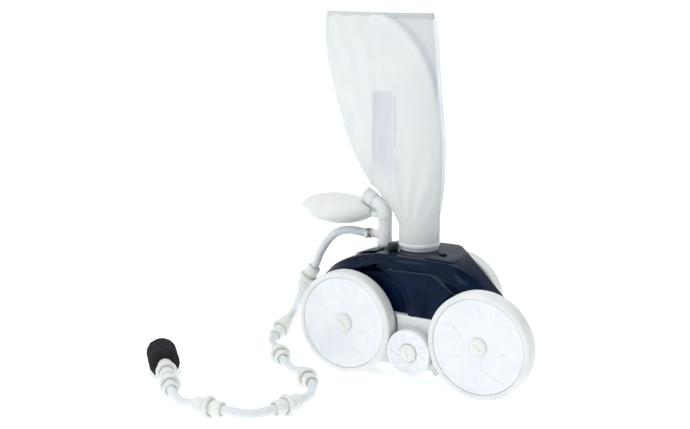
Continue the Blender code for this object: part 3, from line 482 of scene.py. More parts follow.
white = moulded("white_plastic", (0.85, 0.87, 0.88), (0.79, 0.82, 0.83), 0.36)
mast = stand(turn("mast_pipe", [
    (0.0100, MAST_TOP_Z), (0.0126, MAST_TOP_Z), (0.0130, MAST_TOP_Z - 0.0004), (0.0130, 0.2245),
    (0.0136, 0.2220), (0.0150, 0.2165), (0.0150, 0.2120), (0.0134, 0.2095), (0.0130, 0.2050),
    (0.0130, 0.0803), (0.0100, 0.0803), (0.0100, MAST_TOP_Z)], 72), (MAST_X, 0.0, 0.0))
stub = stand(turn("outlet_stub", [
    (0.0045, 0.0270), (0.0066, 0.0270), (0.0075, 0.0255), (0.0075, 0.0180), (0.0085, 0.0160),
    (0.0096, 0.0120), (0.0096, 0.0060), (0.0045, 0.0060), (0.0045, 0.0270)], 48),
    (MAST_X, 0.0, OUTLET_Z), (-1.0, 0.0, 0.0))
join(mast, stub)
settle(mast, white, "chassis", "white_plastic", "feed_mast")

release()
bpy.ops.mesh.primitive_circle_add(vertices=56, radius=0.0135, location=(MAST_X, 0.0, 0.2623),
                                  enter_editmode=True)
elbow = bpy.context.object
elbow.name = "elbow_pipe"
bpy.ops.mesh.select_mode(type="VERT")
bpy.ops.mesh.select_all(action="SELECT")
bpy.ops.mesh.extrude_region_move(TRANSFORM_OT_translate={"value": (0.0, 0.0, 0.0077)})
bpy.ops.mesh.spin(steps=18, angle=math.radians(60), center=BEND_CENTRE, axis=(0.0, 1.0, 0.0))
bpy.ops.mesh.extrude_region_move(TRANSFORM_OT_translate={"value": INLET_WAY * 0.0140})
close_up()
set_down(elbow)
give_wall(elbow, 0.0032)
round_edges(elbow, 0.0005)
settle(elbow, white, "chassis", "white_plastic", "mast_elbow")

INLET_END = Vector((-0.127169, 0.0, 0.306471))
SWIVEL_LENGTH = 0.0240
swivel_outline = [
    (0.0100, 0.0240), (0.0118, 0.0240), (0.0124, 0.0228), (0.0136, 0.0228), (0.0142, 0.0240),
    (0.0145, 0.0232), (0.0145, 0.0190), (0.0136, 0.0182), (0.0136, 0.0160), (0.0145, 0.0152),
    (0.0145, 0.0020), (0.0139, 0.0006), (0.0100, 0.0), (0.0100, 0.0240)]
swivel = turn("inlet_ring", swivel_outline, 72)
for vertex in swivel.data.vertices:
    heading = math.atan2(vertex.co.y, vertex.co.x)
    if 0.0025 < vertex.co.z < 0.0155 and vertex.co.xy.length > 0.0140:
        vertex.co.xy *= 1.0 - 0.02 * (1.0 + math.cos(18 * heading)) / 2
stand(swivel, INLET_END - INLET_WAY * SWIVEL_LENGTH, INLET_WAY)
settle(swivel, white, "inlet", "white_plastic", "inlet_swivel")

# ---- head float ----
# A hollow blow-moulded float that keeps the mast upright in the water. It is egg shaped, blunt
# behind and drawn in to a flat seat at the mast, where a clip holds it on the elbow.
FLOAT_CENTRE = Vector((-0.186, 0.0, 0.2726))
FLOAT_HALF = Vector((0.077, 0.050, 0.028))
FLOAT_END_X = -0.113


def edit(piece):
    """Go into a piece with all its points selected."""
    pick(piece)
    bpy.ops.object.mode_set(mode="EDIT")
    bpy.ops.mesh.select_mode(type="VERT")
    bpy.ops.mesh.select_all(action="SELECT")


def cut_flat(piece, through, outward):
    """Take off what lies beyond a plane and close the cut."""
    edit(piece)
    bpy.ops.mesh.bisect(plane_co=through, plane_no=outward, clear_outer=True, use_fill=True)
    release()


release()
bpy.ops.mesh.primitive_uv_sphere_add(segments=96, ring_count=64, radius=1.0, location=FLOAT_CENTRE,
                                     rotation=(0.0, math.pi / 2, 0.0))
head_float = bpy.context.object
head_float.name = "float_egg"
pick(head_float)
bpy.ops.object.transform_apply(location=False, rotation=True, scale=True)
for vertex in head_float.data.vertices:
    ahead = vertex.co.x
    slimmer = 1.0 - 0.10 * max(0.0, ahead) ** 2
    seam = 1.0 - 0.010 * math.exp(-(vertex.co.y * 55.0) ** 2)
    vertex.co = Vector((vertex.co.x * FLOAT_HALF.x, vertex.co.y * FLOAT_HALF.y * slimmer,
                        vertex.co.z * FLOAT_HALF.z * slimmer * seam))
cut_flat(set_down(head_float), (FLOAT_END_X, 0.0, 0.0), (1.0, 0.0, 0.0))


def cut_away(piece, cutter):
    """Take a cutter's shape out of a piece."""
    taking = piece.modifiers.new("cut_away", "BOOLEAN")
    taking.object = cutter
    taking.solver = "EXACT"
    apply_modifiers(piece)
    bpy.data.objects.remove(cutter, do_unlink=True)


def bar(name, radius, start, end, sides=64):
    """A plain round bar, used as a cutter."""
    start, end = Vector(start), Vector(end)
    return stand(turn(name, [(0.0, (end - start).length), (radius, (end - start).length), (radius, 0.0),
                             (0.0, 0.0)], sides), start, end - start)


cut_away(head_float, bar("saddle", 0.0157, INLET_END - INLET_WAY * 0.044, INLET_END + INLET_WAY * 0.030))
round_edges(head_float, 0.0009, 2, 40)
float_skin = moulded("float_skin", (0.86, 0.87, 0.86), (0.80, 0.82, 0.80), 0.42, 0.00009)
settle(head_float, float_skin, "chassis", "white_plastic", "head_float")

clip = set_down(block("float_clip_block", (-0.1003, 0.0, 0.26925), (0.0248, 0.0140, 0.0115)))
round_edges(clip, 0.0022, 3)
cut_away(clip, bar("clip_seat", 0.0138, (MAST_X, 0.0, 0.24), (MAST_X, 0.0, 0.30)))
settle(clip, white, "chassis", "white_plastic", "float_clip")

# ---- wheels ----
# Three wheels, each a white moulded disc with six low swept vanes and a soft off-white tyre
# pressed on it. Tyre and disc are turned; the vanes are raised on the finely divided face.
WHEEL_RADIUS = 0.094
TYRE_INNER_Y = 0.105
WHEELS = {"rear": (-0.095, -1), "front": (0.169, -1), "far": (0.010, 1)}
VANE_INNER = 0.033
VANE_OUTER = 0.0745
VANE_HEIGHT = 0.0011

tyre_rubber = moulded("tyre_rubber", (0.83, 0.84, 0.83), (0.77, 0.79, 0.78), 0.55, 0.00012)
wheel_white = moulded("wheel_plastic", (0.86, 0.88, 0.92), (0.81, 0.84, 0.88), 0.34)
tyre_outline = [(0.0839, 0.0284), (0.0846, 0.0297), (0.0858, 0.0300),
                *arc(0.0893, 0.0253, 0.0047, 90, 0, 9)]
for groove in (0.0210, 0.0150, 0.0090):
    tyre_outline += [(0.0940, groove + 0.0007), (0.0935, groove + 0.0004), (0.0935, groove - 0.0004),
                     (0.0940, groove - 0.0007)]
tyre_outline += [*arc(0.0893, 0.0047, 0.0047, 0, -90, 9), (0.0839, 0.0008), (0.0839, 0.0284)]


def along_table(value, table):
    """Read a table of (place, amount) points at any place, along straight lines."""
    for (start, low), (end, high) in zip(table, table[1:]):
        if value <= end:
            share = max(0.0, (value - start) / (end - start))
            return low + (high - low) * share
    return table[-1][1]


def eased(value, low, high):
    """0 below low, 1 above high, with an eased change between them."""
    share = min(max((value - low) / (high - low), 0.0), 1.0)
    return share * share * (3.0 - 2.0 * share)


DISC_FACE = [(0.0125, 0.0250), (0.020, 0.0255), (0.030, 0.0262), (0.050, 0.0270), (0.0735, 0.0272),
             (0.0768, 0.0284), (0.0808, 0.0286)]
VANE_TRAILING = [(0.033, 6.0), (0.045, -1.0), (0.057, -4.0), (0.068, 1.0), (0.078, 8.0)]
VANE_LEADING = [(0.033, 9.0), (0.045, 20.0), (0.060, 33.0), (0.076, 43.0)]
face_radii = [0.0125 + (0.0808 - 0.0125) * i / 52 for i in range(53)]
disc_outline = [(radius, along_table(radius, DISC_FACE)) for radius in face_radii]
disc_outline += [(0.0824, 0.0283), (0.0834, 0.0275), (0.0837, 0.0262), (0.0837, 0.0020), (0.0787, 0.0020),
                 (0.0787, 0.0235), (0.0200, 0.0210), (0.0200, 0.0060), (0.0125, 0.0060), (0.0125, 0.0250)]


def raise_vanes(disc, count, soft):
    """Stand the swept vanes up on the outer face of a wheel disc."""
    for vertex in disc.data.vertices:
        radius = vertex.co.xy.length
        if vertex.co.z < 0.0245 or not VANE_INNER - soft < radius < VANE_OUTER + soft:
            continue
        heading = math.degrees(math.atan2(vertex.co.y, vertex.co.x)) % (360.0 / count)
        low = along_table(radius, VANE_TRAILING) % (360.0 / count)
        span = along_table(radius, VANE_LEADING) - along_table(radius, VANE_TRAILING)
        inside = (heading - low) % (360.0 / count)
        edge = math.radians(min(inside, span - inside)) * radius
        inner = radius - VANE_INNER
        outer = VANE_OUTER - radius
        vertex.co.z += VANE_HEIGHT * eased(min(edge, inner, outer), -soft, soft)


SCREW_SEAT = 0.0259
SCREW_HEAD_RADIUS = 0.0155
SCREW_DOME = 0.0046


def screw(name, seat, depth, origin, outward, slot_angle):
    """A domed ivory screw with a coin slot across its head."""
    dome = [(SCREW_HEAD_RADIUS * math.sin(math.radians(a)),
             seat + 0.0014 + SCREW_DOME * math.cos(math.radians(a))) for a in range(0, 91, 6)]
    made = turn(name, [*dome, (0.0152, seat), (0.0040, seat), (0.0040, depth), (0.0, depth)], 72)
    cut_away(made, block("coin_slot", (0.0, 0.0, seat + 0.0062), (0.017, 0.0018, 0.0034), slot_angle))
    return stand(made, origin, outward)


for place, (axle_x, side) in WHEELS.items():
    hub = (axle_x, side * TYRE_INNER_Y, WHEEL_RADIUS)
    outward = (0.0, side, 0.0)
    tyre = stand(turn(f"{place}_tyre_rubber", tyre_outline, 128), hub, outward)
    settle(tyre, tyre_rubber, f"{place}_wheel", "tyre", f"{place}_tyre")
    disc = turn(f"{place}_vaned_disc", disc_outline, 240)
    raise_vanes(disc, 6, 0.0012)
    stand(disc, hub, outward)
    settle(disc, wheel_white, f"{place}_wheel", "white_plastic", f"{place}_wheel_disc", angle=50)
    cap = screw(f"{place}_domed_screw", SCREW_SEAT, 0.006, hub, outward, 50)
    settle(cap, ivory, "chassis", "ivory_plastic", f"{place}_axle_screw")

# ---- idler ----
# A small wheel that rubs on both near tyres and passes the drive back. White plastic with nine
# curved ribs on its face, turned and then raised like the vanes.
IDLER_HUB = (0.037, -0.114, 0.0600)

idler_face = [(0.0085, 0.0165), (0.0165, 0.0168), (0.0175, 0.0178), (0.0340, 0.0182), (0.0352, 0.0194),
              (0.0385, 0.0196)]
idler_radii = [0.0085 + (0.0385 - 0.0085) * i / 34 for i in range(35)]
idler_outline = [(radius, along_table(radius, idler_face)) for radius in idler_radii]
idler_outline += [(0.0385, 0.0196), *arc(0.0398, 0.0174, 0.0022, 80, 0, 5), (0.0420, 0.0022), (0.0400, 0.0),
                  (0.0085, 0.0), (0.0085, 0.0165)]
idler = turn("ribbed_idler", idler_outline, 200)
for vertex in idler.data.vertices:
    radius = vertex.co.xy.length
    if vertex.co.z > 0.0160 and 0.0178 < radius < 0.0342:
        heading = math.degrees(math.atan2(vertex.co.y, vertex.co.x)) + (radius - 0.018) * 1900.0
        off = abs((heading + 20.0) % 40.0 - 20.0)
        vertex.co.z += 0.0013 * eased(-math.radians(off) * radius, -0.0022, -0.0008)
stand(idler, IDLER_HUB, (0.0, -1.0, 0.0))
settle(idler, wheel_white, "idler", "white_plastic", "idler_wheel", angle=50)
idler_cap = screw("idler_domed_screw", 0.0182, 0.004, IDLER_HUB, (0.0, -1.0, 0.0), 20)
settle(idler_cap, ivory, "chassis", "ivory_plastic", "idler_screw")

# ---- hull lines ----
# The tub and the shell share one plan. Each row is a station along the cleaner: its x, the height
# of the deck, half the width at the rim where the two meet, and half the width of the deck.
HULL = [
    (-0.188, 0.1400, 0.070, 0.036), (-0.184, 0.1580, 0.078, 0.045), (-0.160, 0.1790, 0.090, 0.058),
    (-0.128, 0.1960, 0.095, 0.066), (-0.095, 0.2070, 0.096, 0.068), (-0.050, 0.2125, 0.096, 0.069),
    (0.000, 0.2145, 0.096, 0.071), (0.055, 0.2145, 0.096, 0.070), (0.090, 0.2120, 0.096, 0.066),
    (0.120, 0.1960, 0.094, 0.058), (0.140, 0.1760, 0.090, 0.051), (0.155, 0.1560, 0.085, 0.045),
    (0.172, 0.1370, 0.077, 0.038), (0.186, 0.1255, 0.064, 0.032),
]
RIM_Z = 0.1195


def curve_at(points, share):
    """A point on the smooth curve through a list of points, by its share of the whole list."""
    place = min(max(share, 0.0), 1.0) * (len(points) - 1)
    number = min(int(place), len(points) - 2)
    start, end = points[number], points[number + 1]
    before = points[number - 1] if number else 2 * start - end
    after = points[number + 2] if number + 2 < len(points) else 2 * end - start
    return through(before, start, end, after, place - number)


def wrap(name, columns, rows, where):
    """Lay a fine grid over a shape: where(u, v) gives the place of each of its points."""
    release()
    bpy.ops.mesh.primitive_grid_add(x_subdivisions=columns, y_subdivisions=rows, size=2.0)
    piece = bpy.context.object
    piece.name = name
    for vertex in piece.data.vertices:
        vertex.co = where((vertex.co.x + 1.0) / 2.0, (vertex.co.y + 1.0) / 2.0)
    edit(piece)
    close_up(0.00001)
    return piece


HULL_LINES = [Vector(row) for row in HULL]
ROW_STEPS = 260
NOSE_REACH = 0.1865
NOSE_LEAN = 0.75
NOSE_ROUND = 0.012


def off_the_corner(x, y, z):
    """Draw a point in where a sloping plane takes off the far front corner, with a soft edge."""
    limit = (NOSE_REACH - x - (z - RIM_Z)) / NOSE_LEAN
    blend = max(NOSE_ROUND - abs(y - limit), 0.0) / NOSE_ROUND
    return min(y, limit) - blend * blend * NOSE_ROUND / 4.0


def evened(where):
    """Space the points of each row evenly along it, so that none crowd together at the corner."""
    rows = {}

    def spaced(u, v):
        if v not in rows:
            points = [where(i / ROW_STEPS, v) for i in range(ROW_STEPS + 1)]
            reached = [0.0]
            for start, end in zip(points, points[1:]):
                reached.append(reached[-1] + (end - start).length)
            rows[v] = points, reached
        points, reached = rows[v]
        goal = min(max(u, 0.0), 1.0) * reached[-1]
        number = min(max(bisect_left(reached, goal), 1), ROW_STEPS)
        step = max(reached[number] - reached[number - 1], 1e-9)
        return points[number - 1].lerp(points[number], (goal - reached[number - 1]) / step)

    return spaced


# ---- base tub ----
# White moulded tub that carries everything: open at the top, with rounded lower edges, a boss and
# stub for each wheel, and a pod between the near wheels. Gridded over the hull lines, then walled.
TUB_TOP_Z = 0.1192
TUB_FLOOR_Z = 0.014
TUB_WALL = 0.0036
TUBE_X = -0.012
JET_Z = 0.060
SHAFT_X = 0.0895
SHAFT_Z = 0.0328


def tub_point(u, v):
    """v runs along the tub and u across it, from the near rim under the floor to the far rim."""
    row = curve_at(HULL_LINES, v)
    end_distance = min(row.x - HULL[0][0], HULL[-1][0] - row.x)
    floor_z = TUB_FLOOR_Z + 0.018 * max(0.0, 1.0 - end_distance / 0.018) ** 2
    rim = row.z
    half = [Vector(spot) for spot in (
        (rim, TUB_TOP_Z), (rim, floor_z + 0.050), (rim - 0.001, floor_z + 0.026),
        (rim - 0.009, floor_z + 0.004), (rim - 0.022, floor_z), (0.5 * rim, floor_z), (0.0, floor_z))]
    across = 1.0 - 2.0 * abs(u - 0.5)
    y, z = curve_at(half, across)
    z = TUB_TOP_Z if across == 0.0 else z
    return Vector((row.x, off_the_corner(row.x, -y if u < 0.5 else y, z), z))


tub = wrap("moulded_tub", 110, 120, evened(tub_point))
edit(tub)
bpy.ops.mesh.select_mode(type="EDGE")
bpy.ops.mesh.select_all(action="DESELECT")
for end_x in (HULL[0][0], HULL[-1][0]):
    bpy.ops.object.mode_set(mode="OBJECT")
    for edge in tub.data.edges:
        edge.select = all(abs(tub.data.vertices[i].co.x - end_x) < 0.00005 for i in edge.vertices)
    bpy.ops.object.mode_set(mode="EDIT")
    bpy.ops.mesh.edge_face_add()
bpy.ops.mesh.select_all(action="SELECT")
bpy.ops.mesh.normals_make_consistent(inside=False)
release()
give_wall(tub, TUB_WALL)
cut_away(tub, bar("suction_mouth", 0.0285, (TUBE_X, 0.0, 0.0), (TUBE_X, 0.0, 0.030)))
cut_away(tub, bar("jet_window", 0.0125, (-0.200, 0.0, JET_Z), (-0.170, 0.0, JET_Z), 40))
for side in (-1, 1):
    ends = [(SHAFT_X, side * y, SHAFT_Z) for y in (0.070, 0.112)]
    cut_away(tub, bar("shaft_hole", 0.0078, *ends, 32))


def plate(name, outline, near_y, far_y, bevel):
    """A flat outline of (x, z) points, filled, thickened and rounded, stood between two y."""
    curve = bpy.data.curves.new(name, "CURVE")
    curve.dimensions = "2D"
    curve.fill_mode = "BOTH"
    curve.extrude = (far_y - near_y) / 2 - bevel
    curve.bevel_depth = bevel
    curve.bevel_resolution = 3
    curve.offset = -bevel
    spline = curve.splines.new("POLY")
    spline.use_cyclic_u = True
    spline.points.add(len(outline) - 1)
    for spot, (across, up) in zip(spline.points, outline):
        spot.co = (across, up, 0.0, 1.0)
    made = bpy.data.objects.new(name, curve)
    bpy.context.scene.collection.objects.link(made)
    pick(made)
    bpy.ops.object.convert(target="MESH")
    made.rotation_euler = (math.pi / 2, 0.0, 0.0)
    made.location = (0.0, (near_y + far_y) / 2, 0.0)
    edit(set_down(made))
    close_up(0.00001)
    return made


AXLE_Z = WHEEL_RADIUS
REAR_X, FRONT_X = WHEELS["rear"][0], WHEELS["front"][0]
POD_ARCH = 0.0975
BOSS_ROOT_Y = 0.085
pod_low = math.degrees(math.asin((0.050 - AXLE_Z) / POD_ARCH))
pod_high = math.degrees(math.asin((TUB_TOP_Z - AXLE_Z) / POD_ARCH))
pod_outline = [*arc(REAR_X, AXLE_Z, POD_ARCH, pod_low, pod_high, 24),
               *arc(FRONT_X, AXLE_Z, POD_ARCH, 180 - pod_high, 180 - pod_low, 24)]
pod = plate("pod", pod_outline, -0.108, -0.088, 0.0022)
bosses = []
hubs = [(x, AXLE_Z, side, TYRE_INNER_Y - BOSS_ROOT_Y, 0.020) for x, side in WHEELS.values()]
for boss_x, boss_z, side, reach, stub_length in [*hubs, (IDLER_HUB[0], IDLER_HUB[2], -1, 0.029, 0.014)]:
    tip = reach + stub_length
    bosses.append(stand(turn("boss", [
        (0.0042, tip), (0.0072, tip), (0.0080, tip - 0.0008), (0.0080, reach - 0.0005),
        (0.0128, reach - 0.0005), (0.0140, reach - 0.0017), (0.0152, 0.0112), (0.0200, 0.0060),
        (0.0042, 0.0060), (0.0042, tip)], 48),
        (boss_x, side * BOSS_ROOT_Y, boss_z), (0.0, side, 0.0)))
join(tub, pod, *bosses)
settle(tub, white, "chassis", "white_plastic", "base_tub", angle=32)

# ---- top shell ----
# Glossy navy hull that drops over the tub. Its near side carries a panel between the wheels with
# a broad round edge along the rear wheel arch, and a scoop ahead of it below the nose.
PANEL_Y = -0.108
PANEL_BACK_Y = -0.084
PANEL_TOP_Z = 0.1985
ARCH_RADIUS = 0.115
ARCH_ROUND = 0.013
ARCH_REAR_X = -0.135

navy, navy_feed, navy_place = finish("navy_gloss", (0.0010, 0.0055, 0.022), 0.08, specular=0.16)
navy_feed("Specular Tint", (0.55, 0.76, 1.0))
navy_clouds = navy_place.cloud(30.0, 3.0).between(0.3, 0.7)
navy_feed("Base Color", navy_clouds.mix((0.0008, 0.0045, 0.019), (0.0014, 0.008, 0.032)))
navy_feed("Roughness", navy_place.cloud(120.0, 5.0).between(0.45, 0.80) * 0.14 + 0.09)
navy_feed("Normal", navy_place.cloud(170.0, 2.0).relief(0.00006))


def beyond(x, z, start, end):
    """How far a point lies beyond the line from start to end, to its right."""
    line = Vector(end) - Vector(start)
    return ((x - start[0]) * -line.y + (z - start[1]) * line.x) / line.length


def shell_point(u, v):
    """v runs along the shell and u across it, from the near rim over the deck to the far rim."""
    row = curve_at(HULL_LINES, min(max(v * 1.04 - 0.02, 0.0), 1.0))
    top, rim, deck = row.y, row.z, row.w
    span = top - RIM_Z
    half = [Vector(spot) for spot in (
        (rim, RIM_Z), (rim, RIM_Z + 0.25 * span), (rim, RIM_Z + 0.48 * span),
        (rim - 0.004, RIM_Z + 0.72 * span), (deck + 0.0075, RIM_Z + 0.90 * span), (deck, top - 0.0020),
        (0.80 * deck, top - 0.0004), (0.4 * deck, top), (0.0, top))]
    across = 1.0 - 2.0 * abs(u - 0.5)
    y, z = curve_at(half, across)
    if v <= 0.0 or v >= 1.0 or across <= 0.0:
        z = RIM_Z
    scoop = eased(-beyond(row.x, z, (0.067, 0.197), (0.110, 0.172)), 0.000, 0.007)
    scoop *= eased(beyond(row.x, z, (0.124, 0.201), (0.155, 0.185)), -0.001, 0.006)
    scoop *= eased(z, RIM_Z, RIM_Z + 0.012)
    y -= 0.0055 * scoop
    return Vector((row.x, off_the_corner(row.x, -y if u < 0.5 else y, z), z))


shell = wrap("navy_hull", 170, 190, evened(shell_point))
give_wall(shell, 0.0028)
for name, radius, hole_x in (("tube_hole", 0.0318, TUBE_X), ("mast_hole", 0.0142, MAST_X)):
    cut_away(shell, bar(name, radius, (hole_x, 0.0, 0.15), (hole_x, 0.0, 0.25)))

arch_out = ARCH_RADIUS + ARCH_ROUND
panel_low = math.degrees(math.asin((RIM_Z - AXLE_Z) / arch_out))
panel_high = math.degrees(math.asin((PANEL_TOP_Z - AXLE_Z) / arch_out))
front_low = 180 - math.degrees(math.asin((RIM_Z - AXLE_Z) / POD_ARCH))
panel_outline = [*arc(REAR_X, AXLE_Z, arch_out - 0.002, panel_low, panel_high, 28),
                 (0.058, PANEL_TOP_Z), (0.067, PANEL_TOP_Z - 0.0010),
                 *arc(FRONT_X, AXLE_Z, POD_ARCH, 128, front_low, 22)]
panel = plate("panel", panel_outline, PANEL_Y, PANEL_BACK_Y, 0.0030)
panel_depth = PANEL_BACK_Y - PANEL_Y
arch_section = [(ARCH_RADIUS, 0.0), *arc(arch_out, panel_depth - ARCH_ROUND, ARCH_ROUND, 180, 90, 10),
                (arch_out + 0.003, panel_depth), (arch_out + 0.003, 0.0), (ARCH_RADIUS, 0.0)]
arch_band = stand(turn("arch_band", arch_section, 180), (REAR_X, PANEL_BACK_Y, AXLE_Z), (0.0, -1.0, 0.0))
cut_flat(arch_band, (0.0, 0.0, RIM_Z), (0.0, 0.0, -1.0))
cut_flat(arch_band, (ARCH_REAR_X, 0.0, RIM_Z), (-1.0, 0.0, 0.30))
for vertex in arch_band.data.vertices:
    ceiling = PANEL_TOP_Z - 0.0005 - max(0.0, -0.060 - vertex.co.x) * 0.30
    vertex.co.z = min(vertex.co.z, ceiling)
join(shell, panel, arch_band)
PAD_SUNK = 0.0006


def drape(piece, over):
    """Lower a flat piece onto another so that it keeps its own thickness above it."""
    for vertex in piece.data.vertices:
        hit, spot, _, _ = over.ray_cast((vertex.co.x, vertex.co.y, 0.30), (0.0, 0.0, -1.0))
        if hit:
            vertex.co.z += spot.z


def pad(name, low_x, high_x, low_y, high_y, height, corner, over):
    """A low flat pad with round corners, laid on the deck."""
    middle = ((low_x + high_x) / 2, (low_y + high_y) / 2, height / 2 - PAD_SUNK)
    bpy.ops.mesh.primitive_grid_add(x_subdivisions=24, y_subdivisions=12, size=1.0, location=middle)
    made = bpy.context.object
    made.name = name
    made.scale = (high_x - low_x, high_y - low_y, 1.0)
    edit(set_down(made))
    bpy.ops.mesh.extrude_region_move(TRANSFORM_OT_translate={"value": (0.0, 0.0, height / 2 + PAD_SUNK)})
    bpy.ops.mesh.select_all(action="SELECT")
    bpy.ops.mesh.normals_make_consistent(inside=False)
    release()
    drape(made, over)
    corners = made.modifiers.new("round_corners", "BEVEL")
    corners.width = corner
    corners.segments = 4
    corners.limit_method = "ANGLE"
    corners.angle_limit = math.radians(60)
    apply_modifiers(made)
    return made


PAD_EDGE = 0.0008
DECK_PADS = [
    ("front_pad", 0.030, 0.088, -0.062, -0.034, 0.0016),
    ("rear_pad", -0.118, -0.074, -0.050, -0.020, 0.0030),
    ("rear_pad_step", -0.070, -0.028, -0.066, -0.044, 0.0014),
]
join(shell, *[pad(*row, PAD_EDGE, shell) for row in DECK_PADS])
settle(shell, navy, "chassis", "navy_shell", "top_shell", angle=34)

# ---- flow knob and deck latch ----
# A fluted black knob sets how much water goes to the sweep hose. A quarter-turn navy latch with a
# coin slot holds the shell down. Both are turned; the flutes are pressed in, the slot is cut.
black = moulded("black_plastic", (0.010, 0.010, 0.012), (0.018, 0.018, 0.021), 0.38)
knob_low, knob_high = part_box("flow_knob")
KNOB_X, KNOB_Y = (knob_low.x + knob_high.x) / 2, (knob_low.y + knob_high.y) / 2
knob_seat = knob_high.z - 0.012
knob_side = [(0.0098, 0.0090 - 0.0080 * i / 8) for i in range(9)]
knob = turn("fluted_knob", [
    (0.0, 0.0112), (0.0050, 0.0112), (0.0062, 0.0120), (0.0085, 0.0118), (0.0094, 0.0108), *knob_side,
    (0.0090, 0.0), (0.0040, 0.0), (0.0040, -0.0120), (0.0, -0.0120)], 96)
for vertex in knob.data.vertices:
    if vertex.co.z > 0.0005 and vertex.co.xy.length > 0.0080:
        heading = math.atan2(vertex.co.y, vertex.co.x)
        vertex.co.xy *= 1.0 - 0.07 * max(0.0, math.cos(12 * heading))
stand(knob, (KNOB_X, KNOB_Y, knob_seat))
settle(knob, black, "knob", "black_plastic", "flow_knob")

latch_low, latch_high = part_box("deck_latch")
LATCH_X, LATCH_Y = (latch_low.x + latch_high.x) / 2, (latch_low.y + latch_high.y) / 2
latch = turn("coin_latch", [(0.0, 0.0040), (0.0048, 0.0040), *arc(0.0052, 0.0022, 0.0018, 90, 0, 5),
                            (0.0070, 0.0), (0.0040, 0.0), (0.0040, -0.0120), (0.0, -0.0120)], 72)
cut_away(latch, block("coin_slot", (0.0, 0.0, 0.0042), (0.0100, 0.0018, 0.0030)))
stand(latch, (LATCH_X, LATCH_Y, latch_high.z - 0.0040))
settle(latch, navy, "latch", "navy_shell", "deck_latch")

# ---- vacuum tube and bag collar ----
# White tube that carries the debris up into the bag. A flange sits on the deck and a snap collar
# above it grips the bag's neck. Both are turned.
vacuum_tube = stand(turn("suction_tube", [
    (0.0285, 0.2620), (0.0302, 0.2620), (0.0310, 0.2608), (0.0310, 0.2221), (0.0345, 0.2221),
    (0.0355, 0.2210), (0.0355, 0.2162), (0.0348, 0.2151), (0.0310, 0.2151), (0.0310, 0.0183),
    (0.0285, 0.0183), (0.0285, 0.2620)], 112), (TUBE_X, 0.0, 0.0))
settle(vacuum_tube, white, "chassis", "white_plastic", "vacuum_tube")
collar = stand(turn("snap_collar", [
    (0.0313, 0.2560), (0.0338, 0.2560), (0.0345, 0.2552), (0.0345, 0.2300), (0.0338, 0.2294),
    (0.0338, 0.2284), (0.0345, 0.2278), (0.0345, 0.2232), (0.0340, 0.2224), (0.0313, 0.2224),
    (0.0313, 0.2560)], 112),
    (TUBE_X, 0.0, 0.0))
settle(collar, white, "chassis", "white_plastic", "bag_collar")

# ---- debris bag ----
# Sewn mesh-cloth bag that stands over the collar. Two panels meet in a seam behind and a bound
# edge in front. The cloth is lofted from the round neck to the flat top, then let sag and crease.
BAG = [
    (0.2228, -0.0494, 0.0254, 0.0374), (0.2420, -0.0496, 0.0256, 0.0376), (0.2620, -0.0496, 0.0258, 0.0376),
    (0.2780, -0.0605, 0.0265, 0.0372), (0.3000, -0.0790, 0.0295, 0.0372), (0.3300, -0.1150, 0.0335, 0.0372),
    (0.3600, -0.1360, 0.0350, 0.0372), (0.3950, -0.1560, 0.0352, 0.0366), (0.4300, -0.1710, 0.0345, 0.0355),
    (0.4700, -0.1840, 0.0290, 0.0330), (0.5200, -0.1980, 0.0235, 0.0290), (0.5600, -0.2080, 0.0205, 0.0230),
    (0.5900, -0.2120, 0.0175, 0.0165), (0.6200, -0.2125, 0.0135, 0.0085), (0.6380, -0.2095, 0.0115, 0.0042),
]
BAG_BOTTOM, BAG_TOP = BAG[0][0], BAG[-1][0]
BAG_CLOTH = 0.0008
FOLD_CENTRE = Vector((-0.150, 0.480))
FOLD_RADIUS = 0.168
SLIT_TOP_Z = 0.505
SLIT_X = -0.0540
SLIT_LEAN = 0.064
FLAP_DROP = 0.0085
POCKET_DROP = 0.0045
POCKET_EDGE = [(0.290, -0.110), (0.358, -0.103), (0.395, -0.0965), (0.470, -0.0950), (0.500, -0.0900),
               (0.506, -0.0800)]
TAPE_RISE = 0.0010


def bag_edges(z):
    """Rear edge, front edge and half thickness of the bag at a height."""
    return [along_table(z, [(row[0], row[i]) for row in BAG]) for i in (1, 2, 3)]


def slit_at(z):
    """How far along the bag its slit lies at a height."""
    return (SLIT_TOP_Z - z) * SLIT_LEAN + SLIT_X


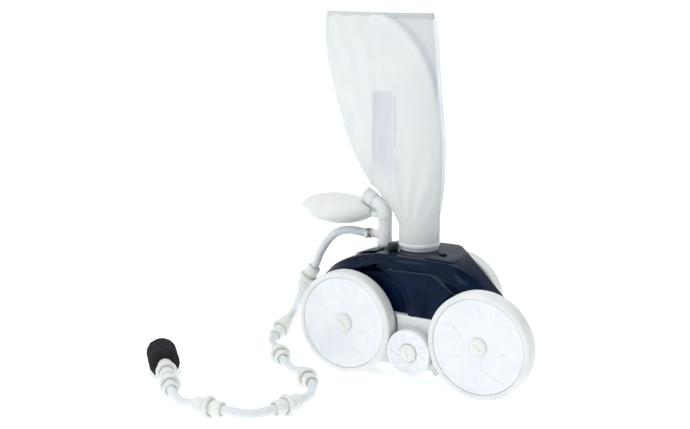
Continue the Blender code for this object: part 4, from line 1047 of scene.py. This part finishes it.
def crease(x, z, side):
    """How far the cloth stands out from the plain loft, in metres."""
    fan = math.atan2(x + 0.020, z - 0.200)
    low = eased(z, 0.262, 0.300) * (1.0 - eased(z, 0.36, 0.50))
    out = 0.0016 * low * math.sin(fan * 34.0 + 2.0 * noise.noise(Vector((x * 20, z * 20, side))))
    out += 0.0024 * noise.noise(Vector((x * 14.0, z * 9.0, 3.0 * side))) * eased(z, 0.28, 0.36)
    out += 0.0007 * math.sin(z * 560.0 + 5.0 * noise.noise(Vector((x * 16, z * 30, 7.0 + side)))) \
        * eased(x, -0.035, -0.020) * eased(z, 0.30, 0.36) * (1.0 - eased(z, 0.52, 0.60))
    out += 0.0011 * math.sin((x + 0.30 * z) * 150.0 + 3.0 * noise.noise(Vector((x * 8, z * 12, side)))) \
        * (1.0 - eased(x, -0.10, -0.07)) * eased(z, 0.36, 0.44)
    if side < 0:
        fold = (Vector((x, z)) - FOLD_CENTRE).length - FOLD_RADIUS
        upper = eased(z, 0.47, 0.52)
        out -= FLAP_DROP * eased(fold, -0.002, 0.008) * upper
        out += 0.0020 * (1.0 - eased(abs(fold), 0.002, 0.012)) * upper
        slit = slit_at(z)
        left = along_table(z, POCKET_EDGE)
        pocket = eased(x, left, left + 0.006) * (1.0 - eased(x, slit - 0.0015, slit))
        pocket *= (1.0 - eased(z, SLIT_TOP_Z - 0.008, SLIT_TOP_Z)) * eased(z, 0.300, 0.345)
        out -= POCKET_DROP * pocket
        tape = eased(x, slit - 0.001, slit) * (1.0 - eased(x, slit + 0.006, slit + 0.007))
        out += TAPE_RISE * tape * eased(z, 0.29, 0.31) * (1.0 - eased(z, SLIT_TOP_Z - 0.002, SLIT_TOP_Z))
    return out


def bag_point(u, v):
    """u runs round the bag from its front edge along the far side, and v up it from the neck."""
    z = BAG_BOTTOM + (BAG_TOP - BAG_BOTTOM) * v
    rear, front, depth = bag_edges(z)
    angle = 2.0 * math.pi * u
    across = math.cos(angle)
    middle, half = (rear + front) / 2.0, (front - rear) / 2.0
    lens = 1.0 + 0.25 * eased(z, 0.30, 0.42)
    x = middle + half * across
    bulge = abs(math.sin(angle)) ** lens
    side = 1 if math.sin(angle) >= 0.0 else -1
    out = depth * bulge + crease(x, z, side) * min(1.0, 3.0 * abs(math.sin(angle))) * eased(z, 0.262, 0.290)
    sag = 0.0012 * math.sin((x + 0.21) * 26.0) * eased(v, 0.90, 1.0)
    return Vector((x, side * max(out, 0.0008), z - max(sag, 0.0)))


bag = wrap("mesh_bag", 150, 190, bag_point)
easing = bag.modifiers.new("ease_cloth", "SMOOTH")
easing.factor = 0.5
easing.iterations = 2
apply_modifiers(bag)
give_wall(bag, BAG_CLOTH)

BAG_AROUND = 0.42
BAG_UP = 0.415
cloth, cloth_feed, cloth_place = finish("bag_cloth", (0.86, 0.88, 0.88), 0.88, specular=0.25)
cloth_feed("Sheen Weight", 0.15)
cloth_feed("Sheen Roughness", 0.6)
map_uv = Signal(cloth.node_tree).node("ShaderNodeTexCoord", output="UV")
threads = map_uv.node("ShaderNodeMapping", None, {"Vector": map_uv, "Scale": (BAG_AROUND, BAG_UP, 1.0)})
warp = threads.node("ShaderNodeTexWave", {"bands_direction": "X"}, {"Vector": threads, "Scale": 190.0})
weft = threads.node("ShaderNodeTexWave", {"bands_direction": "Y"}, {"Vector": threads, "Scale": 190.0})
weave = warp * weft
patchy = cloth_place.cloud(14.0, 4.0).between(0.35, 0.70)
gaps = weave.mix((0.80, 0.83, 0.83), (0.90, 0.92, 0.92))
across, depth, up = [cloth_place.node("ShaderNodeSeparateXYZ", None, {0: cloth_place}, i) for i in range(3)]
fold_x, fold_z = across - FOLD_CENTRE.x, up - FOLD_CENTRE.y
from_fold = fold_x * fold_x + fold_z * fold_z
# Painted shade: on the near panel, the cloth beyond the fold arc and the pocket beside the slit are greyed
# to stand in for the shade in these recesses.
inner = from_fold.between(FOLD_RADIUS ** 2, (FOLD_RADIUS + 0.003) ** 2) * up.between(0.485, 0.500)
pocket_shade_mask = (across + 0.0950).between(-0.001, 0.002) * (slit_at(up) - across).between(0.0, 0.002)
pocket_shade_mask = pocket_shade_mask * (SLIT_TOP_Z - up).between(0.0, 0.003) * up.between(0.33, 0.38)
near_side = (depth * -1.0).between(0.0, 0.001)
painted_shade = (inner + pocket_shade_mask) * near_side
plain = patchy.node("ShaderNodeMix", {"data_type": "RGBA", "blend_type": "MULTIPLY"},
                    {0: 0.6, 6: gaps, 7: patchy.mix((0.95, 0.97, 0.97), (1.0, 1.0, 1.0))}, 2)
# Painted shade: the recesses masked above take a grey in place of the plain cloth colour.
cloth_feed("Base Color", painted_shade.mix(plain, (0.70, 0.74, 0.77)))
cloth_feed("Normal", (weave + cloth_place.cloud(300.0, 2.0) * 0.4).relief(0.00035))
settle(bag, cloth, "chassis", "bag_cloth", "debris_bag", angle=70)


def strip(name, path, half_width, half_depth):
    """A folded tape with a flat oval section along a path, its flat side to the near side."""
    points = smooth_route(path, 8)
    facing = Vector((0.0, -1.0, 0.0))

    def tape_point(u, v):
        place = v * (len(points) - 1)
        number = min(int(place), len(points) - 2)
        centre = points[number].lerp(points[number + 1], place - number)
        along = (points[number + 1] - points[number]).normalized()
        side = along.cross(facing).normalized()
        angle = 2.0 * math.pi * u
        end = 1.0 if 0.0 < v < 1.0 else 0.0
        flat = math.copysign(abs(math.cos(angle)) ** 0.6, math.cos(angle))
        return centre + (side * flat * half_width + facing * math.sin(angle) * half_depth) * end

    return wrap(name, 20, len(points) * 2, tape_point)


tape_cloth = moulded("binding_tape", (0.86, 0.88, 0.90), (0.78, 0.81, 0.85), 0.85, 0.00030, specular=0.2)
front_path = [(bag_edges(z)[1] + 0.0010, -0.0030, z)
              for z in (0.292, 0.315, 0.34, 0.37, 0.41, 0.45, 0.49, 0.53, 0.57, 0.60, 0.632)]
binding = strip("front_binding", front_path, 0.0040, 0.0022)
rear_path = [(bag_edges(z)[0] - 0.0004, 0.0, z)
             for z in (0.335, 0.36, 0.39, 0.42, 0.46, 0.50, 0.54, 0.58, 0.61, 0.633)]
rear_seam = strip("rear_seam", rear_path, 0.0026, 0.0011)
top_hem = strip("top_hem", [(-0.2105, 0.0, 0.6378), (-0.160, 0.0, 0.6374), (-0.110, 0.0, 0.6368),
                            (-0.055, 0.0, 0.6364), (0.0125, 0.0, 0.6370)], 0.0048, 0.0044)
for piece in (binding, rear_seam):
    settle(piece, tape_cloth, "chassis", "bag_cloth", angle=60)
settle(top_hem, cloth, "chassis", "bag_cloth", "bag_top_binding", angle=60)

neck_hem = stand(turn("neck_hem", [(0.0372, 0.2290), (0.0382, 0.2284), (0.0384, 0.2256), (0.0380, 0.2228),
                                   (0.0370, 0.2226), (0.0372, 0.2290)], 96), (TUBE_X, 0.0, 0.0))
settle(neck_hem, tape_cloth, "chassis", "bag_cloth", angle=60)


def zigzag(name, path, width, pitch, radius, material):
    """A sewn zigzag of thread along a path."""
    points = smooth_route(path, 6)
    sewn = []
    for start, end in zip(points, points[1:]):
        count = max(1, round((end - start).length / pitch))
        across = (end - start).normalized().cross(Vector((0.0, -1.0, 0.0)))
        for i in range(count):
            side = 1 if len(sewn) % 2 else -1
            sewn.append(start.lerp(end, i / count) + across * width * side)
    made = strand(name, sewn, radius, 1)
    made.data.materials.append(material)
    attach(made, "chassis")
    return made


thread = moulded("sewing_thread", (0.66, 0.70, 0.74), (0.58, 0.62, 0.66), 0.8)
stitch_path = [(x - 0.0012, y - 0.0021, z) for x, y, z in front_path]
front_stitch = zigzag("front_stitches", stitch_path, 0.0018, 0.0022, 0.00035, thread)
slit_path = []
for z in (0.300, 0.34, 0.38, 0.42, 0.46, 0.498):
    slit_x = slit_at(z) + 0.0035
    hit, spot, _, _ = bag.ray_cast((slit_x, -0.10, z), (0.0, 1.0, 0.0))
    slit_path.append((slit_x, spot.y - 0.0002, z))
slit_stitch = zigzag("slit_stitches", slit_path, 0.0016, 0.0024, 0.00032, thread)

# ---- thrust jet ----
# A black ball nozzle in the back of the tub that pushes the cleaner along. Turned, with a grip ring.
jet_ball = arc(0.0, 0.0, 0.0120, 62, -82, 19)
jet = stand(turn("ball_nozzle", [
    (0.0, 0.0100), (0.0030, 0.0100), (0.0030, 0.0240), (0.0042, 0.0240), (0.0048, 0.0234), (0.0048, 0.0190),
    (0.0055, 0.0185), (0.0055, 0.0160), (0.0048, 0.0155), (0.0050, 0.0125), *jet_ball, (0.0, -0.0120)], 64),
    (-0.1808, 0.0, JET_Z), (-1.0, 0.0, 0.0))
settle(jet, black, "jet", "black_plastic", "thrust_jet")

# ---- parts inside ----
# The manifold, turbine, drive shaft and bearings are plain turned parts whose solids are right as
# they are, so they keep them and get their finish: grey and black plastic, and ground steel.
grey = moulded("grey_plastic", (0.17, 0.18, 0.19), (0.12, 0.13, 0.14), 0.45)
INSIDE = {
    "water_manifold": grey, "turbine_wheel": black, "drive_shaft": stainless,
    "near_shaft_bearing": black, "far_shaft_bearing": black,
    "rear_bearing": stainless, "front_bearing": stainless, "far_bearing": stainless,
}
for name, material in INSIDE.items():
    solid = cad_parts[name]
    solid.data.materials.clear()
    solid.data.materials.append(material)
